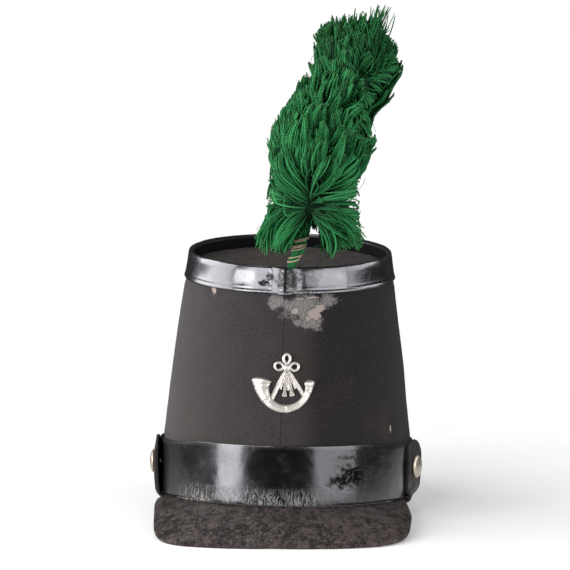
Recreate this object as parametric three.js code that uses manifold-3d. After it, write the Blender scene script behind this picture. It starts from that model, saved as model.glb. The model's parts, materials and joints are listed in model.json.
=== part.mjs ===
// A rifle company's shako: a tapered oval body in black cloth, patent leather bands at the crown and
// the rim, a drooping leather peak, a chin strap tucked up inside, a horn badge and a wool plume.
//
// Millimetres. Every piece is modelled in the hat's own frame: the origin is the middle of the rim,
// +Z runs up to the crown, -Y is the front and +X is on the right of someone who looks at the front.
// At the end the whole hat is turned and lowered until it rests on its peak and the back of its rim.
import * as THREE from "three";
import { mergeVertices } from "three/addons/utils/BufferGeometryUtils.js";
import Module from "manifold-3d";

const wasm = await Module();
wasm.setup();

// ---------------------------------------------------------------- driving dimensions
const GAP = 0.3; // left between pieces that touch
const WALL = 3.2; // stiffened body wall with its cloth
const BAND = 1.3; // patent leather
const STRAP = 1.8; // chin strap leather
const PEAK = 2.6; // peak leather

// The outside of the body: ovals at four heights on the axis, each leaning forward by its slope.
const BODY_SECTIONS = [
  { height: 0, halfWidth: 85.0, halfDepth: 105.0, slope: 0 },
  { height: 41, halfWidth: 85.4, halfDepth: 105.2, slope: 1 },
  { height: 92, halfWidth: 79.6, halfDepth: 98.8, slope: 3.8 },
  { height: 143, halfWidth: 73.1, halfDepth: 91.6, slope: 6.2 },
  { height: 152, halfWidth: 71.0, halfDepth: 89.4, slope: 6.7 },
  { height: 168, halfWidth: 68.8, halfDepth: 87.0, slope: 7.4 },
];
const CROWN_HEIGHT = 168; // crown rim, on the axis
const CROWN_RECESS = 9; // crown disc below the crown rim
const CROWN_THICKNESS = 2.4;
const CROWN_SAG = 2.2; // the disc dips in the middle

const TOP_BAND_WIDTH = 18.6;
const HEM_WIDTH = 3.2; // turned and stitched lower edge of the top band
const LOWER_BAND_TOP = 41;
const LOWER_BAND_BOTTOM = 0.7;

const POCKET_DEPTH = 6.4; // the top band bulges over the plume's stem
const POCKET_HALF_WIDTH = 11;
const POCKET_X = -1.2; // the front seam and the pocket are a little off the middle
const STEM_RADIUS = 2.4;
const STEM_OFFSET = 3.4; // stem axis outside the body wall
const STEM_SLANT = 3.6; // the stem's top leans this far to the right

const STRAP_WIDTH = 24.5;
const STRAP_END_ROUND = 9.5; // height of the rounding at each free end
const STRAP_SET_BACK = -24; // y of the strap's middle
const STUD_HEIGHT = 21;
const STUD_RADIUS = 7.8;
const STUD_DOME = 2.3;
const SHANK_RADIUS = 2;
const RIVET_RADIUS = 4.5;
const SEAT_GAP = 0.6; // between the strap and the head of a stud

const BADGE_HEIGHT = 80.5; // height of the horn's two mouths on the front of the body
const BADGE_SHIFT = 0.6; // badge sits a little to the right of the front seam
const BADGE_POST_RADIUS = 0.9;
const BADGE_POSTS = [-11.2, 11.6];

const LEAN = THREE.MathUtils.degToRad(0.95); // the worn peak makes the hat lean to the right

// ---------------------------------------------------------------- helpers
const radians = THREE.MathUtils.degToRad;
const mix = THREE.MathUtils.lerp;

// Angles round the oval: 0 is the front and +90 is the +X side, with finer steps at the front pocket.
const FRONT_STEP = 1.8;
const ROUND_STEP = 7.25;
const FRONT_SPAN = 12;
const ANGLES = [];
for (let a = -FRONT_SPAN; a < FRONT_SPAN; a += FRONT_STEP) ANGLES.push(radians(a));
for (let a = FRONT_SPAN; a < 360 - FRONT_SPAN; a += ROUND_STEP) ANGLES.push(radians(a));

// Values of a table's row between the two rows on either side of a key.
function between(table, key, at, columns) {
  let i = 0;
  while (i < table.length - 2 && table[i + 1][key] < at) i++;
  const [low, high] = [table[i], table[i + 1]];
  const share = (at - low[key]) / (high[key] - low[key]);
  return columns.map((name) => mix(low[name], high[name], share));
}

// A point of the body's outside, at an angle and a height on the axis, moved outwards by offset.
function bodyPoint(angle, height, offset = 0) {
  const [a, b, slope] = between(BODY_SECTIONS, "height", height, ["halfWidth", "halfDepth", "slope"]);
  const x = (a + offset) * Math.sin(angle);
  const y = -(b + offset) * Math.cos(angle);
  const lean = radians(slope);
  return new THREE.Vector3(x, y * Math.cos(lean), height + y * Math.sin(lean));
}

// How far the top band stands away from the body over the plume's stem.
function pocketBulge(x) {
  const share = Math.min(1, Math.abs(x - POCKET_X) / POCKET_HALF_WIDTH);
  return (POCKET_DEPTH * (1 + Math.cos(Math.PI * share))) / 2;
}

// A closed surface through rings of as many points each. Open lofts get a flat fan at both ends.
function loft(rings, joined) {
  const n = rings[0].length;
  const points = rings.flat();
  const index = [];
  const spans = joined ? rings.length : rings.length - 1;
  for (let i = 0; i < spans; i++) {
    const here = i * n;
    const next = ((i + 1) % rings.length) * n;
    for (let j = 0; j < n; j++) {
      const k = (j + 1) % n;
      index.push(here + j, here + k, next + k, here + j, next + k, next + j);
    }
  }
  if (!joined) {
    for (const [ring, start, turn] of [[rings[0], 0, 1], [rings.at(-1), (rings.length - 1) * n, 0]]) {
      const middle = ring.reduce((sum, p) => sum.add(p), new THREE.Vector3()).divideScalar(n);
      points.push(middle);
      for (let j = 0; j < n; j++) {
        const pair = [start + j, start + ((j + 1) % n)];
        index.push(points.length - 1, pair[turn], pair[1 - turn]);
      }
    }
  }
  return new THREE.BufferGeometry().setFromPoints(points).setIndex(index);
}

// A geometry as a manifold-3d solid that faces out, and back again.
function toSolid(geometry) {
  const bare = geometry.clone();
  for (const name of ["normal", "uv"]) bare.deleteAttribute(name);
  const merged = mergeVertices(bare, 1e-4);
  const triVerts = new Uint32Array(merged.index.array);
  const vertProperties = new Float32Array(merged.attributes.position.array);
  const made = new wasm.Manifold(new wasm.Mesh({ numProp: 3, vertProperties, triVerts }));
  if (made.volume() > 0) return made;
  for (let i = 0; i < triVerts.length; i += 3) {
    [triVerts[i + 1], triVerts[i + 2]] = [triVerts[i + 2], triVerts[i + 1]];
  }
  return new wasm.Manifold(new wasm.Mesh({ numProp: 3, vertProperties, triVerts }));
}

function toGeometry(solid) {
  const mesh = solid.getMesh();
  const positions = new Float32Array(mesh.numVert * 3);
  for (let i = 0; i < mesh.numVert; i++) {
    const start = i * mesh.numProp;
    positions.set(mesh.vertProperties.subarray(start, start + 3), i * 3);
  }
  const geometry = new THREE.BufferGeometry();
  geometry.setAttribute("position", new THREE.BufferAttribute(positions, 3));
  geometry.setIndex(new THREE.BufferAttribute(new Uint32Array(mesh.triVerts), 1));
  return geometry;
}

// A cylinder between two points.
function rod(from, to, radius, sides = 16) {
  const along = to.clone().sub(from);
  const geometry = new THREE.CylinderGeometry(radius, radius, along.length(), sides);
  const turn = new THREE.Quaternion().setFromUnitVectors(
    new THREE.Vector3(0, 1, 0),
    along.clone().normalize(),
  );
  geometry.applyQuaternion(turn);
  const middle = from.clone().add(to).divideScalar(2);
  return geometry.translate(middle.x, middle.y, middle.z);
}

const shako = new THREE.Group();

function add(name, solid, material) {
  const mesh = new THREE.Mesh(toGeometry(solid), material);
  mesh.name = name;
  shako.add(mesh);
  return mesh;
}

// ---------------------------------------------------------------- materials
const finish = (color, roughness, metalness = 0) =>
  new THREE.MeshStandardMaterial({ color, roughness, metalness });
const CLOTH = finish(0x2b292a, 0.95);
const PATENT = finish(0x0c0c0e, 0.18);
const CROWN_LEATHER = finish(0x24221f, 0.55);
const PEAK_LEATHER = finish(0x2f2926, 0.6);
const STRAP_LEATHER = finish(0x1d1a19, 0.55);
const STUD_METAL = finish(0x8f8172, 0.38, 1);
const BADGE_METAL = finish(0xc9c4ba, 0.35, 1);
const GREEN_WOOL = finish(0x1c5a30, 0.95);
const CANE = finish(0xc9b58a, 0.7);

// ---------------------------------------------------------------- body, bands and crown
// A shell that follows the body: its section is a list of [height, offset] pairs, in order.
function bodyShell(section, bulging = () => false) {
  const rings = section.map(([height, offset], i) =>
    ANGLES.map((angle) => {
      const plain = bodyPoint(angle, height, offset);
      if (!bulging(i) || Math.cos(angle) < 0) return plain;
      return bodyPoint(angle, height, offset + pocketBulge(plain.x));
    }),
  );
  return toSolid(loft(rings, true));
}

const bodyHeights = [0, 41, 92, 143, 152, CROWN_HEIGHT - BAND - GAP];
const bodySection = [
  ...bodyHeights.map((height) => [height, 0]),
  ...bodyHeights.toReversed().map((height) => [height, -WALL]),
];

const lowerBandSection = [
  [LOWER_BAND_BOTTOM, GAP],
  [LOWER_BAND_BOTTOM, GAP + BAND],
  [LOWER_BAND_TOP, GAP + BAND],
  [LOWER_BAND_TOP, GAP],
];

// The top band is turned over the crown rim and down its inside. Its lower edge is a thicker hem.
const outside = GAP + BAND;
const hem = outside + 0.9;
const inside = -(WALL + GAP);
const topBandSection = [
  [CROWN_HEIGHT - TOP_BAND_WIDTH, GAP],
  [CROWN_HEIGHT - TOP_BAND_WIDTH, hem - 0.5],
  [CROWN_HEIGHT - TOP_BAND_WIDTH + 0.7, hem],
  [CROWN_HEIGHT - TOP_BAND_WIDTH + HEM_WIDTH - 0.6, hem],
  [CROWN_HEIGHT - TOP_BAND_WIDTH + HEM_WIDTH, outside],
  [CROWN_HEIGHT - 2, outside],
  [CROWN_HEIGHT - 0.5, outside - 0.7],
  [CROWN_HEIGHT, outside - 2],
  [CROWN_HEIGHT, inside - BAND + 2],
  [CROWN_HEIGHT - 0.5, inside - BAND + 0.7],
  [CROWN_HEIGHT - 2, inside - BAND],
  [CROWN_HEIGHT - CROWN_RECESS + GAP, inside - BAND],
  [CROWN_HEIGHT - CROWN_RECESS + GAP, inside],
  [CROWN_HEIGHT - BAND, inside],
  [CROWN_HEIGHT - BAND, GAP],
];
const OUTER_SKIN_ROWS = 8; // the rows that bulge over the stem, with the last one
const bulges = (row) => row < OUTER_SKIN_ROWS || row === topBandSection.length - 1;

// The crown disc: flat rings that shrink to the middle, dipping as they go.
function crownDisc() {
  const shares = [0.4, 0.75, 1];
  const ringAt = (share, drop) =>
    ANGLES.map((angle) => {
      const edge = bodyPoint(angle, CROWN_HEIGHT - CROWN_RECESS, inside - BAND / 2);
      const middle = new THREE.Vector3(0, 0, CROWN_HEIGHT - CROWN_RECESS);
      const point = middle.lerp(edge, share);
      point.z -= drop + CROWN_SAG * (1 - share * share);
      return point;
    });
  return toSolid(
    loft(
      [
        ...shares.map((share) => ringAt(share, 0)),
        ...shares.toReversed().map((share) => ringAt(share, CROWN_THICKNESS)),
      ],
      false,
    ),
  );
}

// ---------------------------------------------------------------- peak
// One side of the peak's free edge, from the front to the end of the peak: where its root is on the
// oval, and the edge's own place.
const PEAK_EDGE = [
  { root: 0, x: 0, y: -139.0, z: -22.2 },
  { root: 13, x: 26, y: -138.4, z: -22.0 },
  { root: 25, x: 49, y: -135.4, z: -21.6 },
  { root: 35, x: 67.5, y: -129.4, z: -20.9 },
  { root: 43, x: 78.5, y: -119.0, z: -18.8 },
  { root: 50, x: 83.4, y: -105.5, z: -15.6 },
  { root: 57, x: 84.8, y: -89.0, z: -11.6 },
  { root: 63, x: 84.4, y: -70.0, z: -7.2 },
  { root: 67, x: 82.6, y: -52.0, z: -3.6 },
  { root: 69, x: 81.2, y: -40.5, z: -1.4 },
];
const PEAK_ROOT_OFFSET = 0.5; // root outside the body wall
const PEAK_STEPS = 22; // on each side
const PEAK_SKEW = radians(1.2); // the peak hangs lower on the left
const PEAK_BULGE = 2.2; // crowning of the leather between root and edge
const PEAK_SHARES = [0, 0.25, 0.5, 0.75, 1];

function peakSolid() {
  const curve = new THREE.CatmullRomCurve3(
    [...PEAK_EDGE.slice(1).toReversed().map((p) => ({ ...p, x: -p.x })), ...PEAK_EDGE].map(
      (p) => new THREE.Vector3(p.x, p.y, p.z + p.x * Math.tan(PEAK_SKEW)),
    ),
    false,
    "centripetal",
  );
  const roots = [...PEAK_EDGE.slice(1).toReversed().map((p) => -p.root), ...PEAK_EDGE.map((p) => p.root)];
  const columns = [];
  for (let i = 0; i <= 2 * PEAK_STEPS; i++) {
    const at = i / (2 * PEAK_STEPS);
    const edge = curve.getPoint(at);
    const place = at * (roots.length - 1);
    const low = Math.min(Math.floor(place), roots.length - 2);
    const angle = radians(mix(roots[low], roots[low + 1], place - low));
    const root = bodyPoint(angle, 0, PEAK_ROOT_OFFSET);
    const reach = Math.hypot(edge.x - root.x, edge.y - root.y);
    columns.push(
      PEAK_SHARES.map((share) => {
        const point = root.clone().lerp(edge, share);
        point.z += PEAK_BULGE * Math.sin(Math.PI * share) * Math.min(1, reach / 30);
        return point;
      }),
    );
  }
  // The underside is the upper side moved along its own normal.
  const under = columns.map((column, i) =>
    column.map((point, j) => {
      const across = columns[Math.min(i + 1, columns.length - 1)][j]
        .clone()
        .sub(columns[Math.max(i - 1, 0)][j]);
      const along = column[Math.min(j + 1, column.length - 1)].clone().sub(column[Math.max(j - 1, 0)]);
      const normal = along.cross(across).normalize();
      if (normal.z > 0) normal.negate();
      if (j === 0) normal.set(0, 0, -1); // the root's end stays clear of the wall
      return point.clone().addScaledVector(normal, PEAK);
    }),
  );
  const sections = columns.map((column, i) => [...column, ...under[i].toReversed()]);
  return toSolid(loft(sections, false));
}

// ---------------------------------------------------------------- chin strap and studs
// The strap from its free end above a stud, down past the rim, under it and up inside. Its middle
// line on one side: distance from the hat's middle plane, and height.
const STRAP_LINE = [
  { out: 87.8, height: 39.2 },
  { out: 88.1, height: 30.0 },
  { out: 88.5, height: 21.0 },
  { out: 88.9, height: 12.0 },
  { out: 88.6, height: 4.5 },
  { out: 85.8, height: -2.0 },
  { out: 81.0, height: -3.4 },
  { out: 76.0, height: -3.0 },
  { out: 73.4, height: 2.0 },
  { out: 73.2, height: 10.0 },
  { out: 73.0, height: 24.0 },
  { out: 72.2, height: 40.0 },
];
const STRAP_ARCH = { halfWidth: 71.6, height: 62, foot: 48 }; // the arch that it makes under the crown
const ARCH_STEPS = 8;
const STRAP_STEPS = 84;
const STRAP_TURN = radians(21); // the right-hand end is twisted to face forward
const STRAP_TURN_TOP = 8; // the twist fades out between these heights on the way down
const STRAP_TURN_BOTTOM = -2;
const STRAP_RIGHT_SHIFT = -0.4; // the twisted end lies this much closer

function strapCurve() {
  const side = STRAP_LINE.map(({ out, height }) => [out, height]);
  const arch = [];
  for (let i = 0; i <= 2 * ARCH_STEPS; i++) {
    const at = (Math.PI * i) / (2 * ARCH_STEPS);
    arch.push([-STRAP_ARCH.halfWidth * Math.cos(at), STRAP_ARCH.foot + STRAP_ARCH.height * Math.sin(at)]);
  }
  const route = [...side.map(([x, z]) => [-x, z]), ...arch, ...side.toReversed()];
  return new THREE.CatmullRomCurve3(
    route.map(([x, z]) => new THREE.Vector3(x, STRAP_SET_BACK, z)),
    false,
    "centripetal",
  );
}

function strapSolid() {
  const curve = strapCurve();
  const long = curve.getLength();
  const sections = [];
  for (let i = 0; i <= STRAP_STEPS; i++) {
    // Steps close up towards both ends, where the outline is round.
    const even = i / STRAP_STEPS;
    const at = even - (0.9 / (2 * Math.PI)) * Math.sin(2 * Math.PI * even);
    const point = curve.getPointAt(at);
    const tangent = curve.getTangentAt(at);
    const fromEnd = Math.min(at, 1 - at) * long;
    const short = Math.max(0, 1 - fromEnd / STRAP_END_ROUND);
    const half = (STRAP_WIDTH / 2) * Math.max(0.12, Math.sqrt(1 - short * short));
    const outer = point.x > 80 ? 1 : 0; // only the part outside the hat is twisted
    const fade = THREE.MathUtils.smoothstep(point.z, STRAP_TURN_BOTTOM, STRAP_TURN_TOP) * outer;
    const across = new THREE.Vector3(0, 1, 0).applyAxisAngle(new THREE.Vector3(0, 0, 1), STRAP_TURN * -fade);
    const normal = tangent.clone().cross(across).normalize();
    point.x += STRAP_RIGHT_SHIFT * fade;
    sections.push(
      [[1, 1], [1, -1], [-1, -1], [-1, 1]].map(([u, v]) =>
        point
          .clone()
          .addScaledVector(across, u * half)
          .addScaledVector(normal, (v * STRAP) / 2),
      ),
    );
  }
  return toSolid(loft(sections, false));
}

// A domed stud outside the strap, with its shank through strap, band and wall to a rivet inside.
// side is -1 or +1, turn is how far it faces forward, and seat is the middle of the strap there.
const LATHE_SIDES = 20;
function studFrame(side, turn) {
  const seat = new THREE.Vector3(side * (88.5 + (side > 0 ? STRAP_RIGHT_SHIFT : 0)), STRAP_SET_BACK, STUD_HEIGHT);
  const out = new THREE.Vector3(side * Math.cos(turn), -Math.sin(turn), 0);
  return { seat, out };
}

function studSolid(side, turn) {
  const { seat, out } = studFrame(side, turn);
  const under = STRAP / 2 + SEAT_GAP; // underside of the head, from the strap's middle
  const wallInside = 7.8 + WALL; // how far in the rivet's head is
  const profile = [
    [0, under + STUD_DOME],
    [STUD_RADIUS * 0.45, under + STUD_DOME * 0.9],
    [STUD_RADIUS * 0.8, under + STUD_DOME * 0.56],
    [STUD_RADIUS, under + 0.8],
    [STUD_RADIUS, under],
    [SHANK_RADIUS, under],
    [SHANK_RADIUS, -wallInside],
    [RIVET_RADIUS, -wallInside],
    [RIVET_RADIUS, -wallInside - 0.8],
    [0, -wallInside - 1.2],
  ].map(([r, h]) => new THREE.Vector2(r, h));
  const geometry = new THREE.LatheGeometry(profile, LATHE_SIDES);
  geometry.applyQuaternion(new THREE.Quaternion().setFromUnitVectors(new THREE.Vector3(0, 1, 0), out));
  return toSolid(geometry.translate(seat.x, seat.y, seat.z));
}

// The hole that a stud's shank goes through.
function studHole(side, turn) {
  const { seat, out } = studFrame(side, turn);
  return toSolid(
    rod(seat.clone().addScaledVector(out, -13), seat.clone().addScaledVector(out, 6), SHANK_RADIUS + GAP),
  );
}

// ---------------------------------------------------------------- horn badge
// Drawn flat, x across, y up and z out from the cloth, then bent onto the body. The horn is a half
// ellipse from the bell to the mouthpiece, with its radius at each angle.
const HORN = { halfWidth: 15.7, height: 16.9, middle: 0 };
const HORN_RADII = [
  { angle: -4, radius: 6.5 },
  { angle: 3, radius: 5.6 },
  { angle: 22, radius: 4.3 },
  { angle: 42, radius: 3.4 },
  { angle: 75, radius: 2.9 },
  { angle: 130, radius: 2.4 },
  { angle: 160, radius: 2.4 },
  { angle: 173, radius: 2.9 },
  { angle: 181, radius: 3.5 },
];
const HORN_STEPS = 26;
const HORN_SIDES = 10;
const KNOT = new THREE.Vector2(0.6, 10.4);

// A solid strip or tube in the badge's plane: half widths in the plane and out of it.
function strip(points, widths, rise, sides = HORN_SIDES) {
  return toSolid(
    loft(
      points.map((p, i) => {
        const ahead = points[Math.min(i + 1, points.length - 1)];
        const behind = points[Math.max(i - 1, 0)];
        const side = new THREE.Vector2(behind.y - ahead.y, ahead.x - behind.x).normalize();
        return Array.from({ length: sides }, (_, k) => {
          const turn = (2 * Math.PI * k) / sides;
          const across = widths[i] * Math.cos(turn);
          return new THREE.Vector3(p.x + side.x * across, p.y + side.y * across, rise[i] * Math.sin(turn));
        });
      }),
      false,
    ),
  );
}

function hornSolid() {
  const points = [];
  const radii = [];
  const [from, to] = [HORN_RADII[0].angle, HORN_RADII.at(-1).angle];
  for (let i = 0; i <= HORN_STEPS; i++) {
    const degrees = mix(from, to, i / HORN_STEPS);
    const angle = radians(degrees);
    points.push(
      new THREE.Vector2(HORN.middle - HORN.halfWidth * Math.cos(angle), -HORN.height * Math.sin(angle)),
    );
    radii.push(between(HORN_RADII, "angle", degrees, ["radius"])[0]);
  }
  return strip(points, radii, radii.map((r) => Math.min(r, 4.4)));
}

// One loop of the bow: a ring about a middle, with its two half widths.
function bowLoop(x, y, halfWidth, halfHeight) {
  const wire = 0.95;
  const geometry = new THREE.TorusGeometry(1, wire / halfHeight, 6, 14);
  geometry.scale(halfWidth, halfHeight, halfHeight);
  return toSolid(geometry.translate(x, y, 1.2));
}

// A cord from the knot to a point, with an optional flared tassel at its end.
function cordStrip(x, y, width, tassel = 0) {
  const end = new THREE.Vector2(x, y);
  const shares = tassel ? [0, 0.5, 0.8, 0.84, 1] : [0, 0.5, 1];
  const widths = tassel ? [0.9, width, width, width * 0.7, tassel] : [1, width, width];
  const points = shares.map((share) => KNOT.clone().lerp(end, share));
  return strip(points, widths, shares.map(() => 1.9), 6);
}

const BADGE_PARTS = () => [
  hornSolid(),
  bowLoop(KNOT.x - 5.2, KNOT.y + 0.8, 2.6, 2.3),
  bowLoop(KNOT.x + 5.2, KNOT.y + 0.8, 2.6, 2.3),
  bowLoop(KNOT.x, KNOT.y + 5.8, 2.2, 2.7),
  toSolid(new THREE.SphereGeometry(2.9, 12, 8).translate(KNOT.x, KNOT.y, 0.4)),
  cordStrip(-8.6, -10.4, 1.5),
  cordStrip(12.4, -8.4, 1.5),
  cordStrip(-0.6, -8.6, 1.3, 1.9),
  cordStrip(4.6, -8.2, 1.3, 1.9),
  cordStrip(-3.2, -3.6, 1.0),
  cordStrip(6.6, -3.2, 1.0),
];

// The horn's lowest stretch carries the two posts that go through the cloth and the wall.
const postAt = (x) => {
  const share = (x - HORN.middle) / HORN.halfWidth;
  return new THREE.Vector2(x, -HORN.height * Math.sqrt(1 - share * share));
};
const posts = (radius, back) =>
  BADGE_POSTS.map((x) => {
    const { y } = postAt(x);
    return toSolid(rod(new THREE.Vector3(x, y, back), new THREE.Vector3(x, y, 1.5), radius, 10));
  });

// Bends a flat solid onto the front of the body.
function bendOntoBody(solid) {
  const front = (height) => bodyPoint(0, height).z;
  const low = 60;
  const high = 120;
  const perHeight = (high - low) / (front(high) - front(low));
  return solid.warp((p) => {
    const height = low + (BADGE_HEIGHT + p[1] - front(low)) * perHeight;
    const x = p[0] + BADGE_SHIFT;
    const [a] = between(BODY_SECTIONS, "height", height, ["halfWidth"]);
    const on = bodyPoint(Math.asin(x / (a + p[2])), height, p[2]);
    [p[0], p[1], p[2]] = [on.x, on.y, on.z];
  });
}

function badgeSolid() {
  const cast = BADGE_PARTS().reduce((all, one) => all.add(one));
  const behind = toSolid(new THREE.BoxGeometry(80, 80, 20).translate(0, 0, -10 + GAP));
  const backed = cast.subtract(behind);
  return bendOntoBody(posts(BADGE_POST_RADIUS, -WALL).reduce((all, one) => all.add(one), backed));
}

const badgeHoles = posts(BADGE_POST_RADIUS + GAP, -WALL - 2).map(bendOntoBody);

// ---------------------------------------------------------------- plume
// The plume's outer form: ovals about its core, from its lowest strands to its tip.
const PLUME_SECTIONS = [
  { x: 7, y: -88, z: 168, width: 20, depth: 17 },
  { x: 10, y: -88, z: 172, width: 29, depth: 25 },
  { x: 13.5, y: -87, z: 184, width: 32, depth: 29 },
  { x: 14.3, y: -86, z: 206, width: 32.5, depth: 31 },
  { x: 17.3, y: -85, z: 224, width: 32, depth: 31 },
  { x: 21.5, y: -83, z: 242, width: 33, depth: 32 },
  { x: 25, y: -81, z: 256, width: 32.5, depth: 31 },
  { x: 35, y: -79, z: 271, width: 32, depth: 31 },
  { x: 41.8, y: -77, z: 286, width: 32.5, depth: 31 },
  { x: 43.4, y: -76, z: 298, width: 30, depth: 28 },
  { x: 42, y: -75, z: 309, width: 24, depth: 22 },
  { x: 43.5, y: -74, z: 318, width: 17.5, depth: 16 },
  { x: 46, y: -74, z: 324, width: 11, depth: 10 },
];
const PLUME_SIDES = 26;

function plumeSolid() {
  return toSolid(
    loft(
      PLUME_SECTIONS.map(({ x, y, z, width, depth }) =>
        Array.from({ length: PLUME_SIDES }, (_, k) => {
          const turn = (2 * Math.PI * k) / PLUME_SIDES;
          return new THREE.Vector3(x + width * Math.cos(turn), y + depth * Math.sin(turn), z);
        }),
      ),
      false,
    ),
  );
}

// The stem stands in the pocket behind the top band and ends just under the plume.
const besideStem = (height) => bodyPoint(Math.asin(POCKET_X / BODY_SECTIONS.at(-1).halfWidth), height, STEM_OFFSET);
const stemFoot = besideStem(CROWN_HEIGHT - 15);
const stemHead = besideStem(CROWN_HEIGHT);
const stemTop = stemFoot
  .clone()
  .lerp(stemHead, (PLUME_SECTIONS[0].z - 1.2 - stemFoot.z) / (stemHead.z - stemFoot.z));
stemTop.x += STEM_SLANT;
const stemSolid = () => toSolid(rod(stemFoot, stemTop, STEM_RADIUS, 12));
const stemHole = toSolid(rod(stemFoot.clone().lerp(stemTop, 0.4), stemTop, STEM_RADIUS + GAP));

// ---------------------------------------------------------------- the assembly
const studs = [
  { name: "stud_left", side: -1, turn: 0 },
  { name: "stud_right", side: 1, turn: STRAP_TURN },
];
const holes = studs.map(({ side, turn }) => studHole(side, turn));
const cut = (solid, tools) => tools.reduce((left, tool) => left.subtract(tool), solid);

const body = add("body", cut(bodyShell(bodySection), [...holes, ...badgeHoles]), CLOTH);
add("lower_band", cut(bodyShell(lowerBandSection), holes), PATENT);
add("top_band", bodyShell(topBandSection, bulges).subtract(stemHole), PATENT);
add("crown_top", crownDisc(), CROWN_LEATHER);
const peak = add("peak", peakSolid(), PEAK_LEATHER);
add("chin_strap", cut(strapSolid(), holes), STRAP_LEATHER);
for (const { name, side, turn } of studs) add(name, studSolid(side, turn), STUD_METAL);
add("horn_badge", badgeSolid(), BADGE_METAL);
add("plume_stem", stemSolid(), CANE);
add("plume", plumeSolid(), GREEN_WOOL);

// ---------------------------------------------------------------- how it rests
// The lowest point of a mesh once the hat has leaned back by an angle.
function lowest(mesh, back) {
  const turn = new THREE.Matrix4().makeRotationFromEuler(new THREE.Euler(-back, LEAN, 0));
  return new THREE.Box3().setFromBufferAttribute(mesh.geometry.clone().applyMatrix4(turn).attributes.position).min.z;
}

// Leans back until the peak and the back of the rim are level.
let [least, most] = [0, radians(20)];
for (let i = 0; i < 30; i++) {
  const middle = (least + most) / 2;
  if (lowest(peak, middle) < lowest(body, middle)) least = middle;
  else most = middle;
}
shako.rotation.set(-least, LEAN, 0);
shako.updateMatrixWorld(true);
const bounds = new THREE.Box3().setFromObject(shako, true);
const middle = bounds.getCenter(new THREE.Vector3());
shako.position.set(-middle.x, -middle.y, -bounds.min.z);

export default shako;
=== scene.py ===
# %% [markdown]
# # A rifle company's shako
#
# A tall stiff cap in black cloth, with patent leather bands, a drooping leather peak, a chin strap
# tucked up inside, a white-metal horn and a plume of green wool. Each piece is modelled in the hat's
# own frame, in millimetres: the rim is the level z = 0, the front looks along -Y and the crown is up.
# One matrix then sets the whole hat down as it rests, leaning back on its peak and its rim.

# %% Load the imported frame
import json
import math

import bmesh
import bpy
import numpy as np
from mathutils import Matrix, Vector, noise


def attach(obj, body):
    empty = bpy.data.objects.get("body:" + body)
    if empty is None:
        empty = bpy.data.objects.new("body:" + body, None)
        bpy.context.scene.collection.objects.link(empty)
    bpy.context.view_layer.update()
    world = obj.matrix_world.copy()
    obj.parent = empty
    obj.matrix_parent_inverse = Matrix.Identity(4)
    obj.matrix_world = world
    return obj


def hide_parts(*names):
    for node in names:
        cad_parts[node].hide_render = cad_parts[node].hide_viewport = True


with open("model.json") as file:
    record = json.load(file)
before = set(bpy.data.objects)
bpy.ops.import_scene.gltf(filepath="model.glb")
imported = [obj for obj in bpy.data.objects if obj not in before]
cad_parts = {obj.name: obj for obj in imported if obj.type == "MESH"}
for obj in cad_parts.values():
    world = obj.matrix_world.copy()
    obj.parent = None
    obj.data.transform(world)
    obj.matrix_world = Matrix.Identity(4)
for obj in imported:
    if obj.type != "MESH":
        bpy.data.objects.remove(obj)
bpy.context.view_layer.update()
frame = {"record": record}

# %% [markdown]
# ## Where the hat stands
#
# The record's rim mount is a point on the hat's lower edge, with the direction that the edge faces.
# That direction gives both leans, and the point gives the place, so no number is fitted by eye.

# %% The hat's own frame
RIM_BACK = Vector((0, 0.1034, 0))
rim = next(m for m in frame["record"]["mounts"] if m["name"] == "rim")
rim_up = -Vector(rim["axis"])
lean_right = math.asin(rim_up.x)
lean_back = math.atan2(rim_up.y, rim_up.z)
turn = Matrix.Rotation(-lean_back, 4, "X") @ Matrix.Rotation(lean_right, 4, "Y")
HAT = Matrix.Translation(Vector(rim["pos_m"]) - turn @ RIM_BACK) @ turn
HAT_MM = HAT @ Matrix.Scale(0.001, 4)
print("hat leans back", round(math.degrees(lean_back), 2), "and right", round(math.degrees(lean_right), 2))

# %% [markdown]
# ## The body's outline
#
# The body is a stack of ovals. Each row of the table is one of them: its height on the axis, its two
# half sizes and how far it dips towards the front. Every band, the crown and the badge follow it.

# %% Ovals
SECTIONS = {
    "height": [0, 41, 92, 143, 152, 168],
    "half_width": [85.0, 85.4, 79.6, 73.1, 71.0, 68.8],
    "half_depth": [105.0, 105.2, 98.8, 91.6, 89.4, 87.0],
    "slope": [0, 1, 3.8, 6.2, 6.7, 7.4],
}
SEAM_X = -1.2


def oval(height):
    a, b, slope = (
        np.interp(height, SECTIONS["height"], SECTIONS[key]) for key in ("half_width", "half_depth", "slope")
    )
    return a, b, np.radians(slope)


def shell_point(angle, height, out=0.0):
    """A point beside the body's outside. Angle 0 is the front, and +90 degrees is the +X side."""
    a, b, slope = oval(height)
    x = (a + out) * np.sin(angle)
    y = -(b + out) * np.cos(angle)
    return np.stack(np.broadcast_arrays(x, y * np.cos(slope), height + y * np.sin(slope)), -1)


def round_angles(count, fine_x=(), radius=78.0):
    """Even steps from the back round to the back, and extra ones where a detail on the front needs them."""
    even = np.linspace(-math.pi, math.pi, count, endpoint=False)
    extra = np.arcsin(np.array(fine_x, float) / radius)
    keep = [a for a in even if not len(extra) or np.min(np.abs(extra - a)) > 0.006]
    return np.sort(np.concatenate([keep, extra]))


# %% [markdown]
# ## Lofting by extrusion
#
# A primitive circle is the first ring. It is extruded once for each further ring, and the new ring is
# moved to its place. Two hidden layers remember each vertex's ring and its spot on the ring, so that a
# UV map in real metres can be laid on the finished piece: U runs round, V runs along.

# %% Helpers for shapes


def deselect():
    for obj in bpy.context.selected_objects:
        obj.select_set(False)


def only(obj):
    deselect()
    obj.select_set(True)
    bpy.context.view_layer.objects.active = obj


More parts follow.
